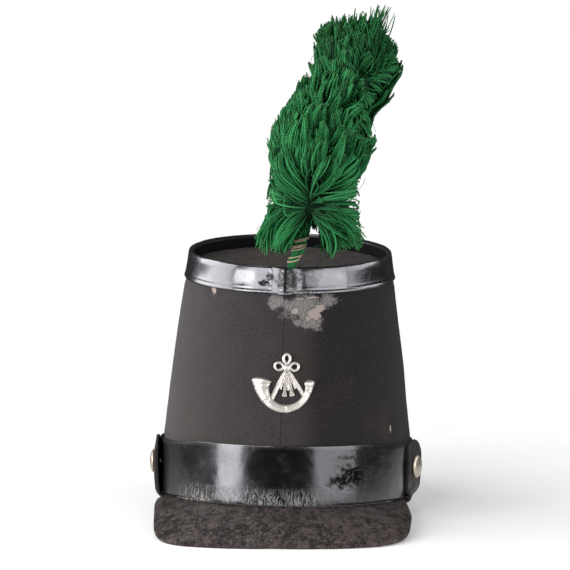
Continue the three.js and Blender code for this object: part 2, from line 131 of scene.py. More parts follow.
def select_rings(obj, wanted):
    """In edit mode, selects just the edges that run along the wanted rings."""
    mesh = bmesh.from_edit_mesh(obj.data)
    row = mesh.verts.layers.int["row"]
    bpy.ops.mesh.select_mode(type="EDGE")
    bpy.ops.mesh.select_all(action="DESELECT")
    for edge in mesh.edges:
        first, second = (v[row] for v in edge.verts)
        edge.select_set(first == second and first in wanted)
    bmesh.update_edit_mesh(obj.data)


def loft(name, rings, joined=False, capped=False):
    """Extrudes a circle through rings of (x, y, z) points, all with the same number of points."""
    rings = np.asarray(rings, float)
    deselect()
    bpy.ops.mesh.primitive_circle_add(vertices=rings.shape[1], radius=1)
    obj = bpy.context.active_object
    obj.name = obj.data.name = name
    bpy.ops.object.mode_set(mode="EDIT")
    bpy.ops.mesh.select_mode(type="VERT")
    bpy.ops.mesh.select_all(action="SELECT")
    mesh = bmesh.from_edit_mesh(obj.data)
    mesh.verts.layers.int.new("row")
    mesh.verts.layers.int.new("spot")
    spot = mesh.verts.layers.int["spot"]
    for i, vert in enumerate(mesh.verts):
        vert[spot] = i
        vert.co = rings[0][i]
    for r, ring in enumerate(rings[1:], 1):
        bpy.ops.mesh.extrude_region_move()
        mesh = bmesh.from_edit_mesh(obj.data)
        row, spot = mesh.verts.layers.int["row"], mesh.verts.layers.int["spot"]
        for vert in mesh.verts:
            if vert.select:
                vert[row] = r
                vert.co = ring[vert[spot]]
    bmesh.update_edit_mesh(obj.data)
    if joined:
        select_rings(obj, (0, len(rings) - 1))
        bpy.ops.mesh.bridge_edge_loops()
    if capped:
        for end in (0, len(rings) - 1):
            select_rings(obj, (end,))
            bpy.ops.mesh.edge_face_add()
            bpy.ops.mesh.poke()
    bpy.ops.mesh.select_mode(type="VERT")
    bpy.ops.mesh.select_all(action="SELECT")
    bpy.ops.mesh.normals_make_consistent(inside=False)
    bpy.ops.object.mode_set(mode="OBJECT")
    return obj


def steps_along(points):
    """Length along a row of points, starting from zero."""
    gaps = np.linalg.norm(np.diff(points, axis=0), axis=1)
    return np.concatenate([[0], np.cumsum(gaps)])


def lay_uv(obj, u, v):
    """UV in metres from tables in millimetres: u[row, spot] and v[row, spot], each one longer than the mesh."""
    mesh = obj.data
    verts, loops = len(mesh.vertices), len(mesh.loops)
    row, spot = np.zeros(verts, np.int32), np.zeros(verts, np.int32)
    mesh.attributes["row"].data.foreach_get("value", row)
    mesh.attributes["spot"].data.foreach_get("value", spot)
    vert_of_loop = np.zeros(loops, np.int32)
    mesh.loops.foreach_get("vertex_index", vert_of_loop)
    starts = np.zeros(len(mesh.polygons), np.int32)
    mesh.polygons.foreach_get("loop_start", starts)
    totals = np.zeros(len(mesh.polygons), np.int32)
    mesh.polygons.foreach_get("loop_total", totals)
    keys = []
    for values, count in ((row[vert_of_loop], u.shape[0] - 1), (spot[vert_of_loop], u.shape[1] - 1)):
        spread = np.maximum.reduceat(values, starts) - np.minimum.reduceat(values, starts)
        wraps = np.repeat(spread > count / 2, totals) & (values == 0)
        keys.append(np.where(wraps, count, values))
    uv = np.stack([u[keys[0], keys[1]], v[keys[0], keys[1]]], -1) * 0.001
    layer = mesh.uv_layers.get("UVMap") or mesh.uv_layers.new(name="UVMap")
    layer.data.foreach_set("uv", uv.astype(np.float32).ravel())


def coords(obj):
    values = np.zeros(len(obj.data.vertices) * 3, np.float32)
    obj.data.vertices.foreach_get("co", values)
    return values.reshape(-1, 3).astype(float)


def set_coords(obj, values):
    obj.data.vertices.foreach_set("co", values.astype(np.float32).ravel())
    obj.data.update()


def vertex_uv(obj):
    """One UV for each vertex, in millimetres."""
    mesh = obj.data
    vert_of_loop = np.zeros(len(mesh.loops), np.int32)
    mesh.loops.foreach_get("vertex_index", vert_of_loop)
    uv = np.zeros(len(mesh.loops) * 2, np.float32)
    mesh.uv_layers["UVMap"].data.foreach_get("uv", uv)
    found = np.zeros((len(mesh.vertices), 2))
    found[vert_of_loop] = uv.reshape(-1, 2) * 1000
    return found


def paint(obj, name, values):
    """A grey value on each vertex, for a material to read."""
    layer = obj.data.attributes.get(name) or obj.data.attributes.new(name, "FLOAT", "POINT")
    layer.data.foreach_set("value", np.asarray(values, np.float32))


def vertex_normals(obj):
    values = np.zeros(len(obj.data.vertices) * 3, np.float32)
    obj.data.vertex_normals.foreach_get("vector", values)
    return values.reshape(-1, 3).astype(float)


def wobble(points, size, seed=0.0):
    """Smooth noise from -1 to 1 at each point, with bumps about `size` millimetres across."""
    shift = Vector((seed * 17.3, seed * 5.1, -seed * 11.7))
    return np.array([noise.noise(Vector(p) / size + shift) for p in points])


def smooth_step(value, low, high):
    share = np.clip((np.asarray(value, float) - low) / (high - low), 0, 1)
    return share * share * (3 - 2 * share)


def set_down(obj, material, slot, *nodes, smooth=35):
    """Stands a finished piece in its place, gives it its material and ties it to the frame."""
    for layer in ("row", "spot"):
        if obj.data.attributes.get(layer):
            obj.data.attributes.remove(obj.data.attributes[layer])
    obj.data.transform(HAT_MM)
    only(obj)
    bpy.ops.object.shade_smooth_by_angle(angle=math.radians(smooth))
    obj.data.materials.clear()
    obj.data.materials.append(material)
    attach(obj, "root")
    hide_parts(*nodes)
    print(obj.name, "has", len(obj.data.polygons), "faces")


# %% [markdown]
# ## Camera
#
# The camera stands 1.8 m in front of the hat, a hand's breadth above the crown, and a long lens keeps
# the ovals almost flat. Its height comes from how open the ovals look.

# %% Camera
CAMERA_PLACE = Vector((37.7, -1799.6, 175.6))
CAMERA_AIM = Vector((-3.2, 0, 143))
camera_data = bpy.data.cameras.new("camera")
camera_data.sensor_width = 36
camera_data.lens = 163.6
camera = bpy.data.objects.new("camera", camera_data)
bpy.context.scene.collection.objects.link(camera)
camera.location = HAT_MM @ CAMERA_PLACE
camera.rotation_euler = (HAT_MM @ CAMERA_AIM - camera.location).to_track_quat("-Z", "Y").to_euler()
bpy.context.scene.camera = camera
print("camera at", tuple(round(c, 3) for c in camera.location))

# %% [markdown]
# ## Floor and light
#
# Upright bands mirror what stands level with them, and the band at the crown leans back, so it mirrors
# what hangs higher. Two soft boxes stand low, left and right of the camera, with a dark gap between
# them. A row of panels hangs above, with its own gap over the camera. The floor fades into white.

# %% Studio
# Each box: azimuth in degrees, distance, width, height, height of its middle, and radiance.
SOFT_BOXES = {
    "left_low": (-58, 1.7, 0.80, 1.05, 0.32, 9.5),
    "left_far": (-104, 1.7, 1.66, 0.44, 0.12, 0.45),
    "right_low": (55, 1.7, 1.40, 0.70, 0.22, 3.9),
    "left_high": (-104, 1.7, 1.70, 1.10, 0.88, 4.6),
    "middle_high": (-36, 1.9, 1.60, 0.80, 1.22, 5.6),
    "right_high": (52, 1.8, 1.76, 0.62, 0.86, 4.0),
    "right_edge": (104, 1.8, 1.60, 0.60, 0.80, 3.0),
}
HAT_MIDDLE = (0, 0, 0.15)


def area_light(name, place, aim, width, height, power):
    data = bpy.data.lights.new(name, "AREA")
    data.shape = "RECTANGLE"
    data.size, data.size_y, data.energy = width, height, power
    light = bpy.data.objects.new(name, data)
    bpy.context.scene.collection.objects.link(light)
    light.location = place
    light.rotation_euler = (Vector(aim) - light.location).to_track_quat("-Z", "Y").to_euler()


for name, (azimuth, distance, width, height, middle, radiance) in SOFT_BOXES.items():
    around = math.radians(azimuth)
    place = (distance * math.sin(around), -distance * math.cos(around), middle)
    area_light(name, place, HAT_MIDDLE, width, height, radiance * math.pi * width * height)
area_light("overhead", (0, 0.3, 2.3), HAT_MIDDLE, 1.6, 1.6, 12)

world = bpy.data.worlds.new("studio")
bpy.context.scene.world = world
world.use_nodes = True
sky = world.node_tree
ray = sky.nodes.new("ShaderNodeLightPath")
dim, white = sky.nodes.new("ShaderNodeBackground"), sky.nodes.new("ShaderNodeBackground")
dim.inputs["Color"].default_value = (0.9, 0.92, 1.0, 1)
dim.inputs["Strength"].default_value = 0.035
white.inputs["Strength"].default_value = 1.0
white.inputs["Color"].default_value = (1, 1, 1, 1)
either = sky.nodes.new("ShaderNodeMixShader")
sky.links.new(ray.outputs["Is Camera Ray"], either.inputs[0])
sky.links.new(dim.outputs[0], either.inputs[1])
sky.links.new(white.outputs[0], either.inputs[2])
sky.links.new(either.outputs[0], sky.nodes["World Output"].inputs["Surface"])
bpy.context.scene.view_settings.view_transform = "Standard"

deselect()
bpy.ops.mesh.primitive_plane_add(size=6)
floor = bpy.context.active_object
floor.name = "floor"
print("lights", len(SOFT_BOXES) + 1)

# %% [markdown]
# ## Tools for materials
#
# A material is a Principled shader with its plain numbers set on its own sockets. What changes over
# the surface comes from nodes: `add` makes a node and wires it in one go, and `calc`, `band` and
# `blend` are the three that every finish here needs.

# %% Node helpers


def add(tree, kind, inputs=None, **settings):
    node = tree.nodes.new("ShaderNode" + kind)
    for key, value in settings.items():
        setattr(node, key, value)
    for key, value in (inputs or {}).items():
        if isinstance(value, bpy.types.NodeSocket):
            tree.links.new(value, node.inputs[key])
        else:
            node.inputs[key].default_value = value
    return node


def calc(tree, operation, a, b=0.0, clamp=False):
    return add(tree, "Math", {0: a, 1: b}, operation=operation, use_clamp=clamp).outputs[0]


def band(tree, value, low, high, to_low=0.0, to_high=1.0):
    """Turns a value from low to high into 0 to 1, softly, or into another span."""
    inputs = {"Value": value, "From Min": low, "From Max": high, "To Min": to_low, "To Max": to_high}
    return add(tree, "MapRange", inputs, interpolation_type="SMOOTHSTEP").outputs[0]


def blend(tree, share, a, b):
    return add(tree, "Mix", {0: share, 6: a, 7: b}, data_type="RGBA").outputs[2]


def shade(red, green, blue):
    return (red, green, blue, 1.0)


def uv_of(tree):
    return add(tree, "UVMap", uv_map="UVMap").outputs[0]


def painted(tree, name):
    return add(tree, "Attribute", attribute_name=name).outputs["Fac"]


def bump(tree, height, depth, normal=None):
    """A bump of the given depth in metres."""
    inputs = {"Height": height, "Distance": depth, "Strength": 1.0}
    if normal is not None:
        inputs["Normal"] = normal
    return add(tree, "Bump", inputs).outputs[0]


def new_material(name, **sockets):
    material = bpy.data.materials.new(name)
    material.use_nodes = True
    tree = material.node_tree
    shader = tree.nodes["Principled BSDF"]
    for key, value in sockets.items():
        shader.inputs[key.replace("_", " ").title().replace("Ior", "IOR")].default_value = value
    return material, tree, shader


def wire(tree, shader, **sources):
    for key, value in sources.items():
        tree.links.new(value, shader.inputs[key.replace("_", " ").title()])


def new_group(name, inputs, outputs):
    """An empty shader group with named sockets: inputs and outputs map a name to Float, Vector or Color."""
    group = bpy.data.node_groups.new(name, "ShaderNodeTree")
    for side, sockets in (("INPUT", inputs), ("OUTPUT", outputs)):
        for key, kind in sockets.items():
            group.interface.new_socket(key, in_out=side, socket_type="NodeSocket" + kind)
    return group, group.nodes.new("NodeGroupInput").outputs, group.nodes.new("NodeGroupOutput").inputs


def use_group(tree, group, **inputs):
    node = tree.nodes.new("ShaderNodeGroup")
    node.node_tree = group
    for key, value in inputs.items():
        socket = node.inputs[key.replace("_", " ")]
        if isinstance(value, bpy.types.NodeSocket):
            tree.links.new(value, socket)
        else:
            socket.default_value = value
    return node.outputs


# %% [markdown]
# ## Shared effects
#
# - `grain` is fine speckle with larger clouds, for leather, wool and metal alike.
# - `weave` is a plain weave: two sets of threads that pass over and under each other.
# - `crackle` is the net of fine cracks of old lacquer, with cells that are pulled out of round.
# - `streaks` are long thin cracks or scratches along one direction.
# - `blotch` is one ragged oval mark at a place on the piece.
# - `dust` settles on what faces up.

# %% Shared groups
grain, ins, outs = new_group("grain", {"Vector": "Vector", "Size": "Float"}, {"Fine": "Float", "Cloud": "Float"})
scale = calc(grain, "DIVIDE", 1.0, ins["Size"])
fine = add(grain, "TexNoise", {"Vector": ins["Vector"], "Scale": scale, "Detail": 5.0, "Roughness": 0.62})
cloud_scale = calc(grain, "MULTIPLY", scale, 0.06)
cloud = add(grain, "TexNoise", {"Vector": ins["Vector"], "Scale": cloud_scale, "Detail": 4.0, "Roughness": 0.6})
grain.links.new(fine.outputs[0], outs["Fine"])
grain.links.new(cloud.outputs[0], outs["Cloud"])

weave, ins, outs = new_group("weave", {"Vector": "Vector", "Pitch": "Float"}, {"Height": "Float"})
split = add(weave, "SeparateXYZ", {0: ins["Vector"]})
waves = []
for axis in (0, 1):
    turns = calc(weave, "MULTIPLY", calc(weave, "DIVIDE", split.outputs[axis], ins["Pitch"]), math.pi)
    waves.append(calc(weave, "SINE", turns))
over = calc(weave, "MULTIPLY", waves[0], waves[1])
weave.links.new(calc(weave, "ABSOLUTE", over), outs["Height"])

crackle, ins, outs = new_group(
    "crackle", {"Vector": "Vector", "Cell": "Float", "Width": "Float"}, {"Crack": "Float", "Tone": "Float"}
)
scale = calc(crackle, "DIVIDE", 1.0, ins["Cell"])
pull = add(crackle, "TexNoise", {"Vector": ins["Vector"], "Scale": scale, "Detail": 3.0})
pulled = add(crackle, "VectorMath", {0: pull.outputs[1], "Scale": calc(crackle, "MULTIPLY", ins["Cell"], 1.4)}, operation="SCALE")
moved = add(crackle, "VectorMath", {0: ins["Vector"], 1: pulled.outputs[0]}, operation="ADD")
net = add(crackle, "TexVoronoi", {"Vector": moved.outputs[0], "Scale": scale}, feature="DISTANCE_TO_EDGE")
cells = add(crackle, "TexVoronoi", {"Vector": moved.outputs[0], "Scale": scale})
tone = add(crackle, "SeparateColor", {0: cells.outputs["Color"]})
crackle.links.new(band(crackle, net.outputs[0], ins["Width"], 0.0), outs["Crack"])
crackle.links.new(tone.outputs[0], outs["Tone"])

streaks, ins, outs = new_group(
    "streaks", {"Vector": "Vector", "Across": "Float", "Along": "Float", "Amount": "Float"}, {"Mask": "Float"}
)
split = add(streaks, "SeparateXYZ", {0: ins["Vector"]})
bend = add(streaks, "TexNoise", {"Vector": ins["Vector"], "Scale": 120.0, "Detail": 2.0})
sway = calc(streaks, "MULTIPLY", calc(streaks, "SUBTRACT", bend.outputs[0], 0.5), 0.004)
across = calc(streaks, "DIVIDE", calc(streaks, "ADD", split.outputs[0], sway), ins["Across"])
along = calc(streaks, "DIVIDE", split.outputs[1], ins["Along"])
place = add(streaks, "CombineXYZ", {0: across, 1: along, 2: split.outputs[2]})
lines = add(streaks, "TexNoise", {"Vector": place.outputs[0], "Scale": 1.0, "Detail": 2.0, "Roughness": 0.5})
ridge = calc(streaks, "ABSOLUTE", calc(streaks, "SUBTRACT", lines.outputs[0], 0.5))
streaks.links.new(band(streaks, ridge, calc(streaks, "MULTIPLY", ins["Amount"], 0.06), 0.0), outs["Mask"])

blotch, ins, outs = new_group(
    "blotch",
    {"Vector": "Vector", "Centre": "Vector", "Wide": "Float", "High": "Float", "Ragged": "Float"},
    {"Mask": "Float"},
)
away = add(blotch, "VectorMath", {0: ins["Vector"], 1: ins["Centre"]}, operation="SUBTRACT")
split = add(blotch, "SeparateXYZ", {0: away.outputs[0]})
wide = calc(blotch, "DIVIDE", split.outputs[0], ins["Wide"])
high = calc(blotch, "DIVIDE", split.outputs[1], ins["High"])
reach = calc(blotch, "SQRT", calc(blotch, "ADD", calc(blotch, "POWER", wide, 2.0), calc(blotch, "POWER", high, 2.0)))
rough_edge = add(blotch, "TexNoise", {"Vector": ins["Vector"], "Scale": 240.0, "Detail": 5.0, "Roughness": 0.65})
torn = calc(blotch, "MULTIPLY", calc(blotch, "SUBTRACT", rough_edge.outputs[0], 0.5), ins["Ragged"])
blotch.links.new(band(blotch, calc(blotch, "ADD", reach, torn), 1.25, 0.55), outs["Mask"])

dust, ins, outs = new_group("dust", {"Vector": "Vector", "Amount": "Float"}, {"Mask": "Float"})
facing = add(dust, "SeparateXYZ", {0: add(dust, "NewGeometry").outputs["Normal"]})
up = band(dust, facing.outputs[2], 0.2, 1.0)
specks = add(dust, "TexNoise", {"Vector": ins["Vector"], "Scale": 900.0, "Detail": 3.0})
settled = calc(dust, "MULTIPLY", up, band(dust, specks.outputs[0], 0.42, 0.7))
dust.links.new(calc(dust, "MULTIPLY", settled, ins["Amount"]), outs["Mask"])
print("shared groups:", [g.name for g in bpy.data.node_groups])

# %% [markdown]
# ## Floor finish
#
# Plain white, and see-through further out, so that it melts into the surround without a horizon.

# %% Floor material
material, tree, shader = new_material("pale_floor", Roughness=0.9)
shader.inputs["Base Color"].default_value = shade(0.92, 0.92, 0.92)
shader.inputs["Emission Color"].default_value = shade(1, 1, 1)
shader.inputs["Emission Strength"].default_value = 0.12
far = add(tree, "VectorMath", {0: add(tree, "TexCoord").outputs["Object"]}, operation="LENGTH").outputs["Value"]
clear = add(tree, "BsdfTransparent")
fade = add(tree, "MixShader", {0: band(tree, far, 0.14, 0.40), 1: shader.outputs[0], 2: clear.outputs[0]})
tree.links.new(fade.outputs[0], tree.nodes["Material Output"].inputs["Surface"])
floor.data.materials.append(material)

# %% [markdown]
# ## Cloth
#
# Black wool cloth with its nap half worn away. It is duller and browner where it faded, paler where
# the nap is rubbed to the bare weave, and the paste board shows pink through the few holes. The two
# marks `bare` and `hole` are painted on the mesh, and noise in the material tears their edges. The
# right side is painted darker and given less sheen, as painted shade, and a dark ring round each hole
# is painted shade at its edge.

# %% Cloth material
material, tree, shader = new_material("black_cloth", Roughness=0.94, Sheen_Weight=0.22, Sheen_Roughness=0.5, Specular_Ior_Level=0.25)
shader.inputs["Sheen Tint"].default_value = shade(0.75, 0.72, 0.74)
cloth = material
uv = uv_of(tree)
speck = use_group(tree, grain, Vector=uv, Size=0.0010)
threads = use_group(tree, weave, Vector=uv, Pitch=0.00075)["Height"]
lint = use_group(tree, streaks, Vector=uv, Across=0.0016, Along=0.0030, Amount=0.22)["Mask"]
torn = add(tree, "TexNoise", {"Vector": uv, "Scale": 1000.0, "Detail": 4.0, "Roughness": 0.7}).outputs[0]
ragged = calc(tree, "MULTIPLY", calc(tree, "SUBTRACT", torn, 0.5), 1.2)
bare = band(tree, calc(tree, "ADD", painted(tree, "bare"), ragged), 0.20, 0.85)
hole = band(tree, calc(tree, "ADD", painted(tree, "hole"), calc(tree, "MULTIPLY", ragged, 0.6)), 0.40, 0.66)
nap = blend(tree, band(tree, speck["Fine"], 0.34, 0.68), shade(0.0125, 0.0105, 0.011), shade(0.044, 0.037, 0.038))
faded_and_shaded = blend(tree, band(tree, speck["Cloud"], 0.40, 0.72, 0.0, 0.5), nap, shade(0.036, 0.030, 0.031))
# Painted shade: the cloth is painted darker towards the right side, where less light falls.
kept = band(tree, painted(tree, "kept"), 0.0, 1.0)
faded_and_shaded = blend(tree, calc(tree, "MULTIPLY", kept, 0.9), faded_and_shaded, shade(0.0065, 0.0050, 0.0054))
brown = add(tree, "TexNoise", {"Vector": uv, "Scale": 14.0, "Detail": 5.0, "Roughness": 0.6}).outputs[0]
faded_and_shaded = blend(tree, band(tree, brown, 0.48, 0.70, 0.0, 0.55), faded_and_shaded, shade(0.034, 0.022, 0.018))
linted = blend(tree, calc(tree, "MULTIPLY", lint, 0.5), faded_and_shaded, shade(0.075, 0.068, 0.068))
base_weave = blend(tree, band(tree, torn, 0.36, 0.66), shade(0.095, 0.088, 0.087), shade(0.27, 0.255, 0.248))
worn = blend(tree, bare, linted, base_weave)
board = blend(tree, speck["Fine"], shade(0.22, 0.17, 0.15), shade(0.46, 0.40, 0.37))
# Painted shade: a dark ring at the edge of each hole.
hole_edge_shade = band(tree, calc(tree, "ADD", painted(tree, "hole"), calc(tree, "MULTIPLY", ragged, 0.9)), 0.10, 0.36)
worn = blend(tree, calc(tree, "MULTIPLY", hole_edge_shade, 0.75), worn, shade(0.030, 0.026, 0.026))
colour = blend(tree, hole, worn, board)
seam_dark = calc(tree, "MULTIPLY", painted(tree, "seam"), 0.35)
colour = blend(tree, seam_dark, colour, shade(0.010, 0.009, 0.009))
height = calc(tree, "ADD", calc(tree, "MULTIPLY", threads, 0.5), speck["Fine"])
# The sheen is weakened on the painted shade of the right side as well.
fuzz = calc(tree, "SUBTRACT", 0.22, calc(tree, "MULTIPLY", kept, 0.14))
wire(tree, shader, Base_Color=colour, Sheen_Weight=fuzz, Normal=bump(tree, height, 0.00022))

# %% [markdown]
# ## Patent leather
#
# Leather under many coats of black lacquer: a soft mirror, a little uneven, so the soft boxes stretch
# into strips with ragged ends. Age cracks the lacquer along the lower edge, where it flexes, and each
# crack's lip is painted pale as a painted highlight. A speckled pale line along the top edge is painted
# highlight too. Where the lacquer is rubbed dull, the mirror goes out.

# %% Patent leather material


def patent_leather(name, edge_height, cracked, rubbed, highlight_top, mirror=0.6, coated=0.4):
    material, tree, shader = new_material(name, Coat_Roughness=0.16)
    shader.inputs["Specular Tint"].default_value = shade(0.93, 0.93, 1.0)
    shader.inputs["Coat Tint"].default_value = shade(0.97, 0.97, 1.0)
    uv = uv_of(tree)
    speck = use_group(tree, grain, Vector=uv, Size=0.0011)
    split = add(tree, "SeparateXYZ", {0: uv})
    low = band(tree, split.outputs[1], edge_height, edge_height * 0.12)
    left, right = cracked
    zone = calc(tree, "MULTIPLY", band(tree, split.outputs[0], left - 0.012, left + 0.012), low)
    zone = calc(tree, "MULTIPLY", zone, band(tree, split.outputs[0], right + 0.012, right - 0.012, 0.12, 1.0))
    cracks = use_group(tree, streaks, Vector=uv, Across=0.0022, Along=0.0170, Amount=0.65)["Mask"]
    fine_cracks = use_group(tree, streaks, Vector=uv, Across=0.0013, Along=0.0110, Amount=0.55)["Mask"]
    split_lacquer = calc(tree, "MULTIPLY", calc(tree, "MAXIMUM", cracks, fine_cracks), zone, clamp=True)
    scratches = use_group(tree, streaks, Vector=uv, Across=0.020, Along=0.0011, Amount=0.10)["Mask"]
    scratches = calc(tree, "MULTIPLY", scratches, band(tree, speck["Cloud"], 0.5, 0.62))
    stretched = add(tree, "VectorMath", {0: uv, 1: (280.0, 900.0, 1.0)}, operation="MULTIPLY").outputs[0]
    smear = add(tree, "TexNoise", {"Vector": stretched, "Scale": 1.0, "Detail": 5.0, "Roughness": 0.68}).outputs[0]
    smear = band(tree, smear, 0.32, 0.50)
    dull = 0.0
    for x, y, wide, high, strength in rubbed:
        mark = use_group(tree, blotch, Vector=uv, Centre=(x, y, 0), Wide=wide, High=high, Ragged=2.6)["Mask"]
        dull = calc(tree, "MAXIMUM", dull, calc(tree, "MULTIPLY", calc(tree, "MULTIPLY", mark, smear), strength))
    # Painted highlight: a speckled pale line along the top edge.
    top = calc(tree, "MULTIPLY", band(tree, split.outputs[1], highlight_top - 0.0035, highlight_top), band(tree, speck["Fine"], 0.42, 0.6))
    marks = calc(tree, "MAXIMUM", split_lacquer, calc(tree, "MULTIPLY", scratches, 0.7))
    marks = calc(tree, "MULTIPLY", marks, calc(tree, "SUBTRACT", 1.0, painted(tree, "inside")))
    colour = blend(tree, speck["Cloud"], shade(0.0012, 0.0012, 0.0016), shade(0.0035, 0.0032, 0.0036))
    # The cracks and scratches are painted pale grey; on the cracks this is a painted highlight along their lips.
    colour = blend(tree, calc(tree, "MULTIPLY", marks, 0.85), colour, shade(0.27, 0.26, 0.265))
    top = calc(tree, "MULTIPLY", top, calc(tree, "SUBTRACT", 1.0, painted(tree, "inside")))
    colour = blend(tree, calc(tree, "MULTIPLY", top, 0.4), colour, shade(0.10, 0.095, 0.095))
    colour = blend(tree, calc(tree, "MULTIPLY", dull, 0.6), colour, shade(0.0015, 0.0013, 0.0015))
    rough = band(tree, speck["Cloud"], 0.3, 0.8, 0.18, 0.34)
    rough = calc(tree, "MAXIMUM", rough, calc(tree, "MULTIPLY", dull, 0.62))
    rough = calc(tree, "MAXIMUM", rough, calc(tree, "MULTIPLY", marks, 0.42))
    rough = calc(tree, "MAXIMUM", rough, calc(tree, "MULTIPLY", painted(tree, "inside"), 0.75))
    spoiled = calc(tree, "MAXIMUM", dull, calc(tree, "MULTIPLY", marks, 0.4))
    inside = painted(tree, "inside")
    spoiled = calc(tree, "MAXIMUM", spoiled, inside)
    coat = calc(tree, "MULTIPLY", calc(tree, "SUBTRACT", 1.0, spoiled), coated, clamp=True)
    specular = calc(tree, "MULTIPLY", calc(tree, "SUBTRACT", 1.0, calc(tree, "MULTIPLY", spoiled, 0.95)), mirror)
    wavy = add(tree, "TexNoise", {"Vector": uv, "Scale": 95.0, "Detail": 2.0, "Roughness": 0.5})
    pores = calc(tree, "MULTIPLY", speck["Fine"], 0.05)
    relief = calc(tree, "ADD", calc(tree, "ADD", wavy.outputs[0], pores), calc(tree, "MULTIPLY", split_lacquer, 0.5))
    wire(tree, shader, Base_Color=colour, Roughness=rough, Coat_Weight=coat, Normal=bump(tree, relief, 0.00032))
    tree.links.new(specular, shader.inputs["Specular IOR Level"])
    return material


lower_patent = patent_leather(
    "lower_patent",
    edge_height=0.0145,
    cracked=(-0.080, 0.030),
    rubbed=(
        (0.048, 0.0205, 0.012, 0.0080, 1.0),
        (0.056, 0.0300, 0.006, 0.0085, 0.75),
        (0.040, 0.0165, 0.010, 0.0045, 0.95),
        (0.044, 0.0330, 0.009, 0.0016, 0.6),
    ),
    highlight_top=0.0412,
)
upper_patent = patent_leather(
    "upper_patent",
    edge_height=0.004,
    cracked=(-0.012, 0.020),
    rubbed=(
        (-0.0145, 0.0068, 0.0050, 0.0024, 1.0),
        (-0.0110, 0.0110, 0.0028, 0.0034, 0.9),
        (0.0010, 0.0105, 0.0085, 0.0085, 0.8),
        (0.0140, 0.0090, 0.0080, 0.0060, 0.35),
    ),
    highlight_top=0.0195,
    mirror=0.95,
    coated=1.0,
)

# %% [markdown]
# ## Plain leathers
#
# The peak, the crown and the strap are dull leather that was once lacquered. The same recipe serves
# all three: a crackled skin in two tones, a rubbed lighter tone in speckled patches, and a raw brown
# edge where the mark `raw` says that the leather was cut.

# %% Dull leather material


def dull_leather(name, dark, light, cell, roughness, bump_depth, worn=0.5, dusty=0.3, specular=0.4, patchy=0.4):
    material, tree, shader = new_material(name, Specular_Ior_Level=specular)
    uv = uv_of(tree)
    speck = use_group(tree, grain, Vector=uv, Size=cell * 0.35)
    net = use_group(tree, crackle, Vector=uv, Cell=cell, Width=0.10)
    coarse = use_group(tree, crackle, Vector=uv, Cell=cell * 3.7, Width=0.05)
    patches = add(tree, "TexNoise", {"Vector": uv, "Scale": 0.26 / cell, "Detail": 6.0, "Roughness": 0.72}).outputs[0]
    mottle = calc(tree, "ADD", calc(tree, "MULTIPLY", net["Tone"], 0.25), calc(tree, "MULTIPLY", patches, 0.75))
    average = tuple(0.45 * a + 0.55 * b for a, b in zip(dark, light))
    clouds = add(tree, "TexNoise", {"Vector": uv, "Scale": 0.045 / cell, "Detail": 2.0, "Roughness": 0.5}).outputs[0]
    mottle = calc(tree, "ADD", mottle, band(tree, clouds, 0.35, 0.65, -0.06 * patchy, 0.06 * patchy))
    darker = tuple(patchy * a + (1 - patchy) * b for a, b in zip(dark, average))
    lighter = tuple(patchy * a + (1 - patchy) * b for a, b in zip(light, average))
    skin = blend(tree, band(tree, mottle, 0.38, 0.62), darker, lighter)
    rubbed = calc(tree, "MULTIPLY", band(tree, speck["Fine"], 0.50, 0.66), worn)
    rubbed = calc(tree, "MULTIPLY", rubbed, band(tree, patches, 0.40, 0.62))
    pale = tuple(min(1.0, c * 2.6) for c in light[:3]) + (1.0,)
    skin = blend(tree, rubbed, skin, pale)
    lines = calc(tree, "MAXIMUM", net["Crack"], coarse["Crack"])
    skin = blend(tree, calc(tree, "MULTIPLY", lines, 0.65), skin, tuple(c * 0.3 for c in dark[:3]) + (1.0,))
    grey = use_group(tree, dust, Vector=uv, Amount=dusty)["Mask"]
    skin = blend(tree, grey, skin, shade(0.20, 0.18, 0.17))
    raw_brown = blend(tree, speck["Fine"], shade(0.022, 0.014, 0.013), shade(0.095, 0.066, 0.056))
    colour = blend(tree, painted(tree, "raw"), skin, raw_brown)
    rough = band(tree, speck["Cloud"], 0.3, 0.7, roughness - 0.12, roughness + 0.1)
    rough = calc(tree, "MAXIMUM", rough, calc(tree, "MULTIPLY", painted(tree, "raw"), 0.85))
    relief = calc(tree, "SUBTRACT", calc(tree, "MULTIPLY", speck["Fine"], 0.6), lines)
    shine = calc(tree, "MULTIPLY", band(tree, mottle, 0.38, 0.62, 1 - 0.75 * patchy, 1 + 0.5 * patchy), specular)
    wire(tree, shader, Base_Color=colour, Roughness=rough, Normal=bump(tree, relief, bump_depth))
    tree.links.new(shine, shader.inputs["Specular IOR Level"])
    return material


peak_leather = dull_leather(
    "dull_peak", shade(0.0045, 0.0030, 0.0029), shade(0.066, 0.043, 0.041), 0.0021, 0.44, 0.0012, worn=1.0, patchy=0.8
)
crown_leather = dull_leather(
    "dull_crown", shade(0.012, 0.0105, 0.0095), shade(0.074, 0.064, 0.057), 0.0022, 0.50, 0.00035, worn=0.4, dusty=0.15
)
strap_leather = dull_leather(
    "dull_strap", shade(0.010, 0.008, 0.008), shade(0.024, 0.019, 0.018), 0.0012, 0.48, 0.00014, worn=0.35
)
lining_board = dull_leather(
    "inner_board", shade(0.045, 0.036, 0.028), shade(0.085, 0.070, 0.055), 0.0030, 0.85, 0.00015, worn=0.2
)
